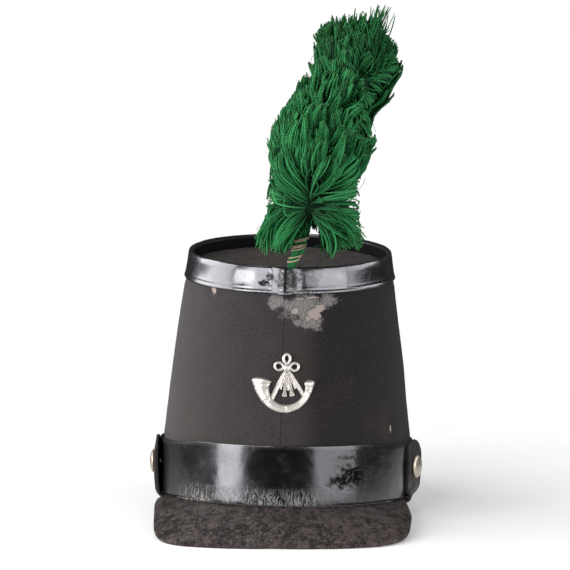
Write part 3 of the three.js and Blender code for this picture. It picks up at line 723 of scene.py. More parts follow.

# %% [markdown]
# ## Metals
#
# The horn is cast white metal: bright on what stands out, grey-brown in the hollows. The studs are
# old nickel with a warm stain. A painted mark `deep` says where a hollow is on the horn; on the studs
# it is painted shade round the dome's rim and on the shank.

# %% Metal material


def old_metal(name, bright, stain, roughness, stain_share):
    material, tree, shader = new_material(name, Metallic=1.0)
    place = add(tree, "TexCoord").outputs["Object"]
    speck = use_group(tree, grain, Vector=place, Size=0.0007)
    tarnish = calc(tree, "MULTIPLY", band(tree, speck["Cloud"], 0.40, 0.66), stain_share)
    tarnish = calc(tree, "MAXIMUM", tarnish, painted(tree, "deep"))
    colour = blend(tree, calc(tree, "MULTIPLY", speck["Fine"], 0.5), bright, tuple(c * 0.72 for c in bright[:3]) + (1.0,))
    colour = blend(tree, tarnish, colour, stain)
    rough = band(tree, speck["Fine"], 0.3, 0.7, roughness - 0.08, roughness + 0.12)
    rough = calc(tree, "MAXIMUM", rough, calc(tree, "MULTIPLY", tarnish, 0.6))
    metallic = calc(tree, "SUBTRACT", 1.0, calc(tree, "MULTIPLY", painted(tree, "deep"), 0.5), clamp=True)
    wire(tree, shader, Base_Color=colour, Roughness=rough, Metallic=metallic, Normal=bump(tree, speck["Fine"], 0.00006))
    return material


white_metal = old_metal("white_metal", shade(0.80, 0.765, 0.72), shade(0.20, 0.175, 0.15), 0.50, 0.25)
old_nickel = old_metal("old_nickel", shade(0.62, 0.55, 0.46), shade(0.25, 0.19, 0.13), 0.34, 0.5)

# %% [markdown]
# ## Body
#
# Stiff board covered in cloth: one wall, open below, sewn down the front. The wall's outline is swept
# round as a closed loop, so it has an inside. The seam is a fine groove between two columns of faces,
# and the worn places are cut finer so that the cloth really stands above its holes.

# %% Body
WALL = 3.2
SEAM_X_STEPS = [SEAM_X + x for x in (-2.2, -1.0, -0.45, 0, 0.45, 1.0, 2.2)]
body_angles = round_angles(200, SEAM_X_STEPS)
outer_heights = np.concatenate([[1.3, 20, 36], np.arange(39, 151, 2.6), [152, 158, 164.5]])
inner_heights = [158, 150, 125, 100, 75, 50, 25, 1.3]


def arcs_round(angles, height, out=0.0):
    """Arc length from the front, left side negative, in millimetres, for angles that start at the back."""
    closed = np.append(angles, angles[0] + 2 * math.pi)
    arc = steps_along(shell_point(closed, height, out))
    return arc - np.interp(0, closed, arc)


def shell_uv(angles, heights, out=0.0):
    """UV tables for a shell: arc length from the front against height on the axis."""
    heights = list(heights) + [heights[0]]
    u = np.array([arcs_round(angles, h, out) for h in heights])
    v = np.repeat(np.array(heights)[:, None], len(angles) + 1, axis=1)
    return u, v


rings = [shell_point(body_angles, h) for h in outer_heights]
rings += [shell_point(body_angles, h, -WALL) for h in inner_heights]
body = loft("cloth_body", rings, joined=True)
lay_uv(body, *shell_uv(body_angles, list(outer_heights) + inner_heights))

# Worn places: across from the front, height, half width and half height.
HOLES = [
    (18.6, 135.4, 4.6, 4.6),
    (22.6, 138.8, 3.6, 3.0),
    (14.6, 131.4, 1.6, 1.9),
    (5.6, 137.0, 2.3, 2.2),
    (9.0, 145.8, 4.0, 0.9),
    (17.4, 146.6, 4.4, 0.9),
    (-57.6, 148.0, 2.6, 3.0),
    (90.5, 50.0, 1.3, 2.8),
]
BARE = [
    (10.0, 140.5, 21.0, 13.0),
    (16.0, 130.0, 13.0, 9.0),
    (29.0, 145.5, 11.0, 6.5),
    (-7.0, 144.0, 8.0, 8.0),
    (-57.6, 148.0, 3.4, 4.6),
    (90.5, 50.0, 1.4, 3.2),
]


def subdivide_near(obj, marks, margin, cuts):
    """Cuts the faces on the outside finer near each mark, given as across, height and two half sizes."""
    uv = vertex_uv(obj)
    only(obj)
    bpy.ops.object.mode_set(mode="EDIT")
    bpy.ops.mesh.select_mode(type="FACE")
    bpy.ops.mesh.select_all(action="DESELECT")
    mesh = bmesh.from_edit_mesh(obj.data)
    normals = {face: face.normal for face in mesh.faces}
    for face in mesh.faces:
        middle = np.mean([uv[v.index] for v in face.verts], axis=0)
        centre = face.calc_center_median()
        outward = normals[face].x * centre.x + normals[face].y * centre.y > 0
        near = any(abs(middle[0] - m[0]) < m[2] + margin and abs(middle[1] - m[1]) < m[3] + margin for m in marks)
        face.select_set(outward and near)
    bmesh.update_edit_mesh(obj.data)
    bpy.ops.mesh.subdivide(number_cuts=cuts)
    bpy.ops.object.mode_set(mode="OBJECT")


def ragged_ovals(points, marks, ragged, size, core=0.8):
    """How far inside any of the ragged ovals each point is: 1 in the middle, 0 well outside."""
    rough = np.array([noise.fractal(Vector((p[0], p[1], 0)) / size, 0.8, 2.1, 4) for p in points])
    depth = np.zeros(len(points))
    for x, y, wide, high in marks:
        reach = np.hypot((points[:, 0] - x) / wide, (points[:, 1] - y) / high)
        depth = np.maximum(depth, 1 - smooth_step(reach + ragged * rough, core, 1.15))
    return depth


subdivide_near(body, BARE, 4, 3)
across_up = vertex_uv(body)
points = coords(body)
normals = vertex_normals(body)
outside = (normals[:, 0] * points[:, 0] + normals[:, 1] * points[:, 1]) > 0
hole_depth = ragged_ovals(across_up, HOLES, 0.55, 3.2) * outside
bare_depth = np.maximum(ragged_ovals(across_up, BARE, 0.5, 6.0, core=0.1) * outside, 0.9 * hole_depth)
from_seam = np.abs(points[:, 0] - SEAM_X * (points[:, 1] / -90))
seam_depth = (1 - smooth_step(from_seam, 0.15, 0.8)) * outside * (points[:, 1] < 0)
beside_seam = smooth_step(from_seam, 0.4, 1.0) * (1 - smooth_step(from_seam, 1.0, 2.6)) * (points[:, 1] < 0)
soft = 0.55 * wobble(points, 42, 1) + 0.16 * wobble(points, 11, 2)
push = soft * outside - 0.28 * seam_depth + 0.14 * beside_seam * outside - 0.25 * bare_depth - 0.65 * hole_depth
set_coords(body, points + normals * push[:, None])
paint(body, "hole", hole_depth)
paint(body, "bare", bare_depth)
paint(body, "seam", seam_depth)
# Painted shade: a mark that darkens the cloth towards the right side.
paint(body, "kept", 0.8 * smooth_step(points[:, 0], 4, 26) + 0.2 * smooth_step(points[:, 0], 30, 60))
paint(body, "raw", np.zeros(len(points)))
set_down(body, cloth, "cloth", "body")
body.data.materials.append(lining_board)
middle_of_hat = HAT @ Vector((0, 0, 0))
for face in body.data.polygons:
    centre = face.center - middle_of_hat
    if face.normal.x * centre.x + face.normal.y * centre.y < 0:
        face.material_index = 1

# %% [markdown]
# ## Lower band
#
# A strip of patent leather, turned under at the rim. Its outline is swept round like the body's.

# %% Lower band
GAP = 0.25
LOWER_OUTLINE = [
    (-WALL - 1.1, 13), (-WALL - 1.1, 4), (-WALL - 1.0, 0.8), (-WALL + 0.3, 0.0), (-1.0, -0.1), (0.6, 0.0),
    (1.25, 0.35), (1.55, 1.1), (1.62, 2.2), (1.62, 5), (1.58, 10), (1.55, 16), (1.55, 22), (1.55, 28),
    (1.55, 34), (1.56, 38), (1.58, 40.2), (1.42, 40.9), (1.0, 41.2), (GAP + 0.1, 41.1), (GAP, 40.4), (GAP, 24),
    (GAP, 2.0), (-0.6, 1.0), (-WALL + 0.2, 1.0), (-WALL - 0.2, 1.6), (-WALL - 0.2, 13),
]
band_angles = round_angles(240)
rings = [shell_point(band_angles, h, out) for out, h in LOWER_OUTLINE]
lower_band = loft("lower_band_leather", rings, joined=True)
lay_uv(lower_band, *shell_uv(band_angles, [h for _, h in LOWER_OUTLINE]))
points = coords(lower_band)
normals = vertex_normals(lower_band)
skin = ((normals[:, 0] * points[:, 0] + normals[:, 1] * points[:, 1]) > 0) & (points[:, 2] > 1)
push = 0.16 * wobble(points, 26, 3) + 0.05 * wobble(points, 7, 4)
side_swell = 1.0 * smooth_step(-points[:, 0], 66, 84) + 0.3 * smooth_step(points[:, 0], 66, 84)
points = points + normals * ((push + side_swell) * skin)[:, None]
end_drop = np.where(points[:, 0] < 0, 4.6, 3.0) * smooth_step(np.abs(points[:, 0]), 52, 86)
points[:, 2] -= end_drop * smooth_step(points[:, 2], 24, 41)
set_coords(lower_band, points)
paint(lower_band, "inside", 0.62 * smooth_step(-points[:, 0], 58, 78))
set_down(lower_band, lower_patent, "patent", "lower_band")

# %% [markdown]
# ## Top band
#
# This strip folds over the crown's rim and down the inside. Two rows of stitching press its lower edge
# into two thin ribs. At the front it swells over the socket of the plume.

# %% Top band
CROWN = 168.0
POCKET_HALF, POCKET_RISE = 11.0, 6.2
TOP_OUTLINE = [
    (-WALL - 1.9, CROWN - 9.6), (-WALL - 1.5, CROWN - 7.4), (-WALL - 0.5, CROWN - 4.6), (-2.3, CROWN - 2.4),
    (-1.0, CROWN - 0.9), (0.0, CROWN - 0.25), (0.75, CROWN - 0.2), (1.2, CROWN - 0.6), (1.45, CROWN - 1.5),
    (1.5, CROWN - 5), (1.45, CROWN - 8), (1.45, CROWN - 11), (1.5, CROWN - 13.4), (1.55, CROWN - 14.2),
    (1.62, CROWN - 14.7), (1.62, CROWN - 15.3), (1.6, CROWN - 15.9), (1.55, CROWN - 16.3), (1.75, CROWN - 16.7),
    (1.85, CROWN - 17.3), (1.75, CROWN - 18.1), (1.3, CROWN - 18.6), (0.6, CROWN - 18.6), (GAP, CROWN - 18.0),
    (GAP, CROWN - 8), (0.1, CROWN - 2.4), (-1.4, CROWN - 3.2), (-WALL + 0.3, CROWN - 5.6), (-WALL - 0.6, CROWN - 9.6),
]
top_angles = round_angles(216, np.arange(-16, 16.1, 1.6) + SEAM_X, radius=70)


def pocket(points):
    """How far the band stands off over the socket, by the distance from the front seam."""
    share = np.clip(np.abs(points[:, 0] - SEAM_X) / POCKET_HALF, 0, 1)
    swell = POCKET_RISE * (1 + np.cos(np.pi * share)) / 2
    return swell * (points[:, 1] < 0)


rings = []
for i, (out, height) in enumerate(TOP_OUTLINE):
    plain = shell_point(top_angles, height, out)
    lifted = 5 < i < len(TOP_OUTLINE) - 3
    fade = 0.55 if i == 6 else 1.0
    rings.append(shell_point(top_angles, height, out + (pocket(plain) * fade if lifted else 0)))
top_band = loft("top_band_leather", rings, joined=True)
table_u, table_v = shell_uv(top_angles, [h for _, h in TOP_OUTLINE])
lay_uv(top_band, table_u, table_v - (CROWN - 18.6))
points = coords(top_band)
normals = vertex_normals(top_band)
push = 0.22 * wobble(points, 19, 5) + 0.12 * wobble(points, 6, 6)
set_coords(top_band, points + normals * push[:, None])
row = np.zeros(len(points), np.int32)
top_band.data.attributes["row"].data.foreach_get("value", row)
paint(top_band, "inside", ((row < 4) | (row > 23)).astype(float))
set_down(top_band, upper_patent, "patent", "top_band")

# %% [markdown]
# ## Crown
#
# The disc of dull leather that closes the top. It dips in the middle and buckles a little.

# %% Crown disc
disc_shares = np.concatenate([np.linspace(0.04, 1, 22), np.linspace(1, 0.04, 8)])
disc_drop = np.concatenate([np.zeros(22), np.full(8, 2.4)])
disc_rings = []
disc_edge = shell_point(band_angles, CROWN - 8.6, -WALL - 1.0)
disc_middle = np.array([0, 0, CROWN - 8.6])
for share, drop in zip(disc_shares, disc_drop):
    ring = disc_middle + (disc_edge - disc_middle) * share
    ring[:, 2] -= drop + 2.2 * (1 - share**2)
    disc_rings.append(ring)
crown = loft("crown_disc", disc_rings, capped=True)
flat = np.array([[r[:, 0], r[:, 1]] for r in disc_rings + disc_rings[:1]])
flat = np.concatenate([flat, flat[:, :, :1]], axis=2)
lay_uv(crown, flat[:, 0], flat[:, 1])
points = coords(crown)
inner = 1 - smooth_step(np.hypot(points[:, 0] / 66, points[:, 1] / 84), 0.8, 1.0)
points[:, 2] += inner * (0.7 * wobble(points, 30, 7) + 0.25 * wobble(points, 9, 8))
set_coords(crown, points)
paint(crown, "raw", np.zeros(len(points)))
set_down(crown, crown_leather, "crown_leather", "crown_top")

# %% [markdown]
# ## Peak
#
# Stiff leather that leaves the rim almost level at the sides and droops in front. Each ring of the
# loft is one cross-section from the rim out to the free edge and back below, and the rings run round
# from the left end to the right end. The free edge is cut raw, so its face is painted `raw`.

# %% Peak
PEAK_EDGE = {
    "root": [0, 13, 25, 35, 43, 50, 57, 63, 67, 69],
    "x": [0, 26, 49, 67.5, 78.5, 83.4, 85.2, 86.0, 86.0, 85.0],
    "y": [-139, -138.4, -135.4, -129.4, -119, -105.5, -89, -70, -52, -40.5],
    "z": [-22.2, -22.0, -21.6, -20.9, -18.8, -15.6, -11.6, -7.2, -3.6, -1.4],
}
PEAK_SKEW = math.radians(1.2)
PEAK_THICK = 2.3
PEAK_SWELL = 2.2


def smooth_line(points, count):
    """A Catmull-Rom curve through the points, in even steps."""
    points = np.asarray(points, float)
    padded = np.vstack([2 * points[0] - points[1], points, 2 * points[-1] - points[-2]])
    fine = []
    for i in range(1, len(padded) - 2):
        before, start, end, after = padded[i - 1 : i + 3]
        for t in np.linspace(0, 1, 24, endpoint=False):
            fine.append(
                0.5
                * (
                    2 * start
                    + (end - before) * t
                    + (2 * before - 5 * start + 4 * end - after) * t**2
                    + (3 * start - before - 3 * end + after) * t**3
                )
            )
    fine = np.array(fine + [points[-1]])
    length = steps_along(fine[:, :3])
    even = np.linspace(0, length[-1], count)
    return np.stack([np.interp(even, length, fine[:, k]) for k in range(fine.shape[1])], -1)


half = np.stack([PEAK_EDGE[key] for key in ("x", "y", "z", "root")], -1).astype(float)
mirrored = half[:0:-1] * (-1, 1, 1, -1)
edge_line = smooth_line(np.vstack([mirrored, half]), 132)
shares = np.linspace(0, 1, 15) ** 0.9
sections, raw_marks = [], []
for x, y, z, root_angle in edge_line:
    near_end = smooth_step(y, -84, -42)
    x -= near_end * (1.4 if x < 0 else 3.4)
    edge = np.array([x, y, z + x * math.tan(PEAK_SKEW)])
    root = shell_point(math.radians(root_angle), 0.0, -0.4)
    reach = np.linalg.norm(edge - root)
    top = root + (edge - root) * shares[:, None]
    top[:, 2] += PEAK_SWELL * np.sin(np.pi * shares) * min(1, reach / 30) - 0.35
    out = (edge - root) / reach
    normal = np.array([-out[0] * out[2], -out[1] * out[2], out[0] ** 2 + out[1] ** 2])
    normal /= np.linalg.norm(normal)
    below = top[::-1] - normal * PEAK_THICK
    rounding = [top[-1] + out * 0.35 - normal * PEAK_THICK * t for t in (0.12, 0.5, 0.88)]
    sections.append(np.vstack([top, rounding, below]))
peak = loft("leather_peak", sections, capped=True)
sections = np.array(sections)
wrap = np.concatenate([sections, sections[:1]])
wrap = np.concatenate([wrap, wrap[:, :1]], axis=1)
spots = np.zeros(len(peak.data.vertices), np.int32)
peak.data.attributes["spot"].data.foreach_get("value", spots)
lay_uv(peak, wrap[:, :, 0], wrap[:, :, 1])
points = coords(peak)
normals = vertex_normals(peak)
free = smooth_step(np.hypot(points[:, 0] / 87, points[:, 1] / 107), 1.0, 1.12)
dent = np.exp(-(((points[:, 0] - 62) / 15) ** 2) - ((points[:, 1] + 116) / 4.5) ** 2)
fold = np.exp(-(((points[:, 0] - 60) / 15) ** 2) - ((points[:, 1] + 106) / 3.5) ** 2)
push = free * (0.6 * wobble(points, 24, 9) + 0.25 * wobble(points, 7, 10) - 1.7 * dent + 0.8 * fold)
points[:, 2] += push
set_coords(peak, points)
is_raw = (spots >= len(shares)) & (spots <= len(shares) + 2)
paint(peak, "raw", is_raw * 0.8)
set_down(peak, peak_leather, "peak_leather", "peak", smooth=50)

# %% [markdown]
# ## Repair at the rim
#
# Where the peak has torn from its stitching on the left, a few thick pale threads show.

# %% Repair stitches
STITCHES = [((-64.6, 1.2), (-64.0, -1.6)), ((-61.6, 1.0), (-60.6, -1.2)), ((-56.0, 1.4), (-52.5, 1.2))]
stitch_paths = []
for ends in STITCHES:
    stitch = []
    for share in np.linspace(0, 1, 7):
        across = ends[0][0] + (ends[1][0] - ends[0][0]) * share
        outward = 2.6 - (ends[0][1] + (ends[1][1] - ends[0][1]) * share)
        spot = shell_point(math.asin(across / 88), 0.0, outward)
        lift = 0.9 + 0.4 * math.sin(math.pi * share) - 0.20 * outward
        stitch.append(spot + (0, 0, lift))
    stitch_paths.append(stitch)
REPAIR = np.array(stitch_paths)
print("repair threads:", len(REPAIR))

# %% [markdown]
# ## Chin strap
#
# One flat strap. Its ends are held outside by the studs, and the rest is tucked under the rim and up
# inside, where it stands as an arch. The right-hand end has twisted to face forward.

# %% Chin strap
STRAP_LINE = [
    (87.8, 39.2), (88.1, 30.0), (88.3, 21.0), (87.9, 14.0), (87.3, 7.0), (86.2, 0.5), (82.5, -2.6),
    (76.0, -3.0), (73.4, 2.0), (73.2, 10.0), (73.0, 24.0), (72.2, 40.0),
]
ARCH_HALF, ARCH_FOOT, ARCH_RISE = 71.6, 48.0, 62.0
STRAP_Y, STRAP_HALF, STRAP_THICK, STRAP_END = -24.0, 12.25, 1.8, 9.5
STRAP_TURN = math.radians(21)

side = np.array(STRAP_LINE)
turns = np.linspace(0, math.pi, 17)
arch = np.stack([-ARCH_HALF * np.cos(turns), ARCH_FOOT + ARCH_RISE * np.sin(turns)], -1)
route = np.vstack([side * (-1, 1), arch, side[::-1]])
fine_line = smooth_line(np.column_stack([route[:, 0], np.full(len(route), STRAP_Y), route[:, 1]]), 700)
length = steps_along(fine_line)
even = np.linspace(0, 1, 190)
stations = (even - 0.85 / (2 * math.pi) * np.sin(2 * math.pi * even)) * length[-1]
# The strap's section: half width share, and thickness share from inside (-1) to outside (+1).
STRAP_SECTION = [
    (-1, -0.3), (-0.985, -0.75), (-0.94, -1), (-0.5, -1), (0, -1), (0.5, -1), (0.94, -1), (0.985, -0.75), (1, -0.3),
    (1, 0.3), (0.985, 0.75), (0.94, 1), (0.86, 0.86), (0.5, 1), (0, 1), (-0.5, 1), (-0.86, 0.86), (-0.94, 1), (-0.985, 0.75),
    (-1, 0.3),
]
strap_rings = []
for at in stations:
    here, ahead, behind = (
        np.array([np.interp(np.clip(at + step, 0, length[-1]), length, fine_line[:, k]) for k in range(3)])
        for step in (0, 0.6, -0.6)
    )
    tangent = (ahead - behind) / np.linalg.norm(ahead - behind)
    from_end = min(at, length[-1] - at)
    short = max(0.0, 1 - from_end / STRAP_END)
    width = STRAP_HALF * max(0.10, math.sqrt(1 - short * short))
    fade = smooth_step(here[2], -2, 8) * (here[0] > 80)
    turned = -STRAP_TURN * fade
    sideways = np.array([-math.sin(turned), math.cos(turned), 0])
    outward = np.cross(tangent, sideways)
    outward /= np.linalg.norm(outward)
    middle = here + (-0.4 * fade, 0, 0)
    doubled = smooth_step(here[2], -2, 4) * (1 - smooth_step(here[2], 27, 38)) * (abs(here[0]) > 80)
    thick = STRAP_THICK + 1.5 * doubled
    strap_rings.append([middle + sideways * w * width + outward * t * thick / 2 for w, t in STRAP_SECTION])
strap = loft("chin_strap_leather", strap_rings, capped=True)
strap_rings = np.array(strap_rings)
round_strap = np.array([0] + list(np.cumsum(np.linalg.norm(np.diff(strap_rings[95], axis=0), axis=1))) + [54])
table_u = np.repeat(np.append(stations, stations[-1] + 1)[:, None], len(STRAP_SECTION) + 1, axis=1)
table_v = np.repeat(round_strap[None, :], len(stations) + 1, axis=0)
lay_uv(strap, table_u, table_v)
spots = np.zeros(len(strap.data.vertices), np.int32)
strap.data.attributes["spot"].data.foreach_get("value", spots)
is_raw = np.isin(spots, [0, 1, 7, 8, 9, 10, 18, 19])
paint(strap, "raw", is_raw * 0.12)
points = coords(strap)
points += 0.15 * wobble(points, 15, 11)[:, None] * vertex_normals(strap)
set_coords(strap, points)
set_down(strap, strap_leather, "strap_leather", "chin_strap")
print("strap length", round(length[-1], 1), "mm")

# %% [markdown]
# ## Studs
#
# A domed head on a shank, riveted inside. One is lofted through circles along its own axis, and a
# copy of it serves the other side.

# %% Studs
STUD_RADIUS, STUD_DOME, SHANK, RIVET = 7.8, 2.3, 1.4, 4.5
STUD_SEAT, STUD_HEIGHT = 88.5, 21.0
seat_gap = STRAP_THICK / 2 + 0.95
rivet_at = -(7.8 + WALL)
dome = [(STUD_RADIUS * math.sin(t), seat_gap + 0.5 + STUD_DOME * math.cos(t)) for t in np.linspace(0.06, math.pi / 2, 12)]
STUD_PROFILE = dome + [
    (STUD_RADIUS + 0.05, seat_gap + 0.3), (STUD_RADIUS - 0.1, seat_gap + 0.05), (STUD_RADIUS - 0.6, seat_gap),
    (SHANK, seat_gap), (SHANK, rivet_at), (RIVET - 0.3, rivet_at), (RIVET, rivet_at - 0.3),
    (RIVET - 0.4, rivet_at - 0.9), (RIVET * 0.5, rivet_at - 1.2), (0.2, rivet_at - 1.25),
]
around = np.linspace(0, 2 * math.pi, 48, endpoint=False)
stud_rings = [np.stack([r * np.cos(around), r * np.sin(around), np.full(48, h)], -1) for r, h in STUD_PROFILE]
master = loft("stud", stud_rings, capped=True)
points = coords(master)
normals = vertex_normals(master)
set_coords(master, points + normals * (0.07 * wobble(points, 3.5, 12) * (points[:, 2] > 0))[:, None])
# Painted shade: the rim of the dome and the shank are painted with the dark stain.
rim_shade = smooth_step(np.hypot(points[:, 0], points[:, 1]), STUD_RADIUS * 0.86, STUD_RADIUS)
paint(master, "deep", np.where(points[:, 2] > seat_gap - 0.2, 0.55 * rim_shade, 0.8))
for name, sign, facing in (("stud_left", -1, 0.0), ("stud_right", 1, STRAP_TURN)):
    stud = master.copy()
    stud.data = master.data.copy()
    stud.name = stud.data.name = name + "_head"
    bpy.context.scene.collection.objects.link(stud)
    out = Vector((sign * math.cos(facing), -math.sin(facing), 0))
    seat = Vector((sign * (STUD_SEAT + (-0.4 if sign > 0 else 0)), STRAP_Y, STUD_HEIGHT))
    stud.data.transform(Matrix.Translation(seat) @ out.to_track_quat("Z", "Y").to_matrix().to_4x4())
    set_down(stud, old_nickel, "stud_metal", name)
bpy.data.objects.remove(master)

# %% [markdown]
# ## Horn badge
#
# A hunting horn under a three-looped bow, cast flat in white metal. It is drawn in its own plane, with
# x across, y up and z out from the cloth, and only bent round the body once it is whole.

# %% Badge
BADGE_HEIGHT, BADGE_SHIFT = 80.5, 0.6
HORN_HALF, HORN_DROP = 15.7, 16.9
KNOT_X, KNOT_Y = 0.6, 10.4
HORN_ANGLES = [-9.5, -8, -6, -3.5, -1.5, 1.5, 5, 22, 42, 75, 130, 160, 173, 179, 183, 186, 188]
HORN_RADII = [0.6, 3.6, 5.7, 6.6, 6.7, 6.1, 5.6, 4.3, 3.4, 2.9, 2.4, 2.4, 2.9, 3.5, 3.4, 2.4, 0.6]
# Rings round the horn: angle, how far round they reach, and how proud they stand (or how deep).
HORN_RINGS = [
    (1.5, 0.9, -0.55), (9, 0.8, -0.5), (12.5, 0.8, -0.45), (16, 0.8, -0.5), (36, 1.0, 0.4), (39, 0.8, -0.4),
    (41.5, 1.0, 0.4), (92, 1.2, 0.3), (95.5, 1.6, 0.6), (99, 1.2, 0.3), (163, 1.0, 0.35), (167, 0.9, -0.3), (172, 0.9, -0.3),
]


def flat_strip(name, path, widths, rises, sides=20, flutes=0, depth=0.0):
    """A solid strip in the badge's plane, flat behind, with grooves along it."""
    path = np.asarray(path, float)
    ahead = np.gradient(path, axis=0)
    side = np.stack([-ahead[:, 1], ahead[:, 0]], -1)
    side /= np.linalg.norm(side, axis=1)[:, None]
    round_it = np.linspace(0, 2 * math.pi, sides, endpoint=False)
    groove = 1 - depth * (0.5 - 0.5 * np.cos(2 * math.pi * flutes * (np.cos(round_it) + 1) / 2 + math.pi))
    rings = []
    for point, across, width, rise in zip(path, side, widths, rises):
        flat = point + across * (width * np.cos(round_it))[:, None]
        rings.append(np.column_stack([flat, np.maximum(rise * np.sin(round_it) * groove, 0.1)]))
    return loft(name, rings, capped=True)


def bow_loop(name, toward, reach, wide, high):
    """One loop of the bow: a wire that leaves the knot and comes back, pinched towards the knot."""
    along = np.array([math.cos(toward), math.sin(toward)])
    beside = np.array([-along[1], along[0]])
    rings = []
    for t in np.linspace(0, 2 * math.pi, 44, endpoint=False):
        pinch = 1 - 0.45 * max(0.0, -math.cos(t)) ** 2
        out = along * math.cos(t) + beside * math.sin(t)
        middle = np.array([KNOT_X, KNOT_Y]) + along * (reach + wide * math.cos(t)) + beside * high * pinch * math.sin(t)
        round_wire = np.linspace(0, 2 * math.pi, 12, endpoint=False)
        wire = 0.92 * (1 + 0.05 * math.sin(15 * t))
        flat = middle + out * (wire * np.cos(round_wire))[:, None]
        rings.append(np.column_stack([flat, 1.25 + wire * np.sin(round_wire)]))
    return loft(name, rings, joined=True)


def cord(name, x, y, widths, shares, rise=1.8, flutes=2):
    start = np.array([KNOT_X, KNOT_Y])
    fine = np.linspace(0, 1, 30)
    path = start + (np.array([x, y]) - start) * fine[:, None]
    return flat_strip(name, path, np.interp(fine, shares, widths), np.full(30, rise), 24, flutes, 0.45)


def bend_onto_body(flat):
    """Moves (x, y, out) points from the badge's plane onto the front of the body."""
    low, high = 60.0, 120.0
    z_low, z_high = (float(shell_point(0.0, h)[2]) for h in (low, high))
    height = low + (BADGE_HEIGHT + flat[:, 1] - z_low) * (high - low) / (z_high - z_low)
    width = oval(height)[0] + flat[:, 2]
    return shell_point(np.arcsin((flat[:, 0] + BADGE_SHIFT) / width), height, flat[:, 2])


degrees = np.linspace(HORN_ANGLES[0], HORN_ANGLES[-1], 150)
horn_angle = np.radians(degrees)
horn_path = np.stack([-HORN_HALF * np.cos(horn_angle), -HORN_DROP * np.sin(horn_angle)], -1)
horn_path[:, 1] += np.where(degrees < 0, 0.4, 0)
horn_radius = np.interp(degrees, HORN_ANGLES, HORN_RADII)
horn_rise = np.minimum(horn_radius, 4.2)
for angle, spread, proud in HORN_RINGS:
    ring_bump = proud * np.exp(-(((degrees - angle) / spread) ** 2))
    horn_rise = horn_rise + ring_bump
    horn_radius = horn_radius + ring_bump * 0.4
badge_parts = [
    flat_strip("horn", horn_path, horn_radius, horn_rise, 28, 3, 0.10),
    bow_loop("loop_left", math.radians(172), 5.0, 2.9, 2.4),
    bow_loop("loop_right", math.radians(6), 5.0, 2.9, 2.4),
    bow_loop("loop_top", math.radians(90), 5.6, 3.0, 2.2),
    cord("cord_left", -8.8, -10.6, (1.0, 1.7, 1.8), (0, 0.5, 1)),
    cord("cord_right", 12.6, -8.6, (1.0, 1.6, 1.6), (0, 0.5, 1)),
    cord("tassel_left", -0.6, -8.6, (0.8, 1.35, 1.35, 0.95, 1.55, 1.9), (0, 0.5, 0.8, 0.84, 0.88, 1), 2.1, 3),
    cord("tassel_right", 4.6, -8.2, (0.8, 1.35, 1.35, 0.95, 1.55, 1.9), (0, 0.5, 0.8, 0.84, 0.88, 1), 2.1, 3),
    cord("fold_left", -3.3, -3.8, (0.8, 1.1, 1.1), (0, 0.5, 1), 1.5, 2),
    cord("fold_right", 6.8, -3.4, (0.8, 1.1, 1.1), (0, 0.5, 1), 1.5, 2),
    cord("fold_middle", 1.9, -4.4, (0.8, 1.2, 1.1), (0, 0.5, 1), 1.5, 2),
]
deselect()
bpy.ops.mesh.primitive_uv_sphere_add(segments=28, ring_count=14, radius=2.6, location=(KNOT_X, KNOT_Y, 0.8))
badge_parts.append(bpy.context.active_object)
for x in (-11.2, 11.6):
    foot_y = -HORN_DROP * math.sqrt(1 - (x / HORN_HALF) ** 2)
    for radius, depth, middle in ((0.9, WALL + 1.8, -WALL / 2 + 0.5), (1.7, 0.6, -WALL - 0.5)):
        deselect()
        bpy.ops.mesh.primitive_cylinder_add(vertices=16, radius=radius, depth=depth, location=(x, foot_y, middle))
        badge_parts.append(bpy.context.active_object)
deselect()
for part in badge_parts:
    part.select_set(True)
bpy.context.view_layer.objects.active = badge_parts[0]
bpy.ops.object.join()
badge = bpy.context.active_object
badge.name = badge.data.name = "horn_badge_cast"
points = coords(badge)
height_out = points[:, 2].copy()
pits = wobble(points, 1.6, 13)
points += vertex_normals(badge) * (0.05 * pits)[:, None]
paint(badge, "deep", 0.9 * (1 - smooth_step(height_out, 0.35, 1.15)) + 0.12 * np.maximum(pits, 0))
set_coords(badge, bend_onto_body(points))
set_down(badge, white_metal, "badge_metal", "horn_badge", smooth=40)

# %% [markdown]
# ## Yarn
#
# Hundreds of strands can't be laid one by one with tools, so they come from arrays: every strand is a
# thin tube about its own path, and one mesh holds many. Each vertex knows its place along the strand
# and its strand's tone, and the UV carries the twist of the ply.

# %% Yarn helpers
rng = np.random.default_rng(11)


def unit(vectors):
    return vectors / np.maximum(np.linalg.norm(vectors, axis=-1, keepdims=True), 1e-9)


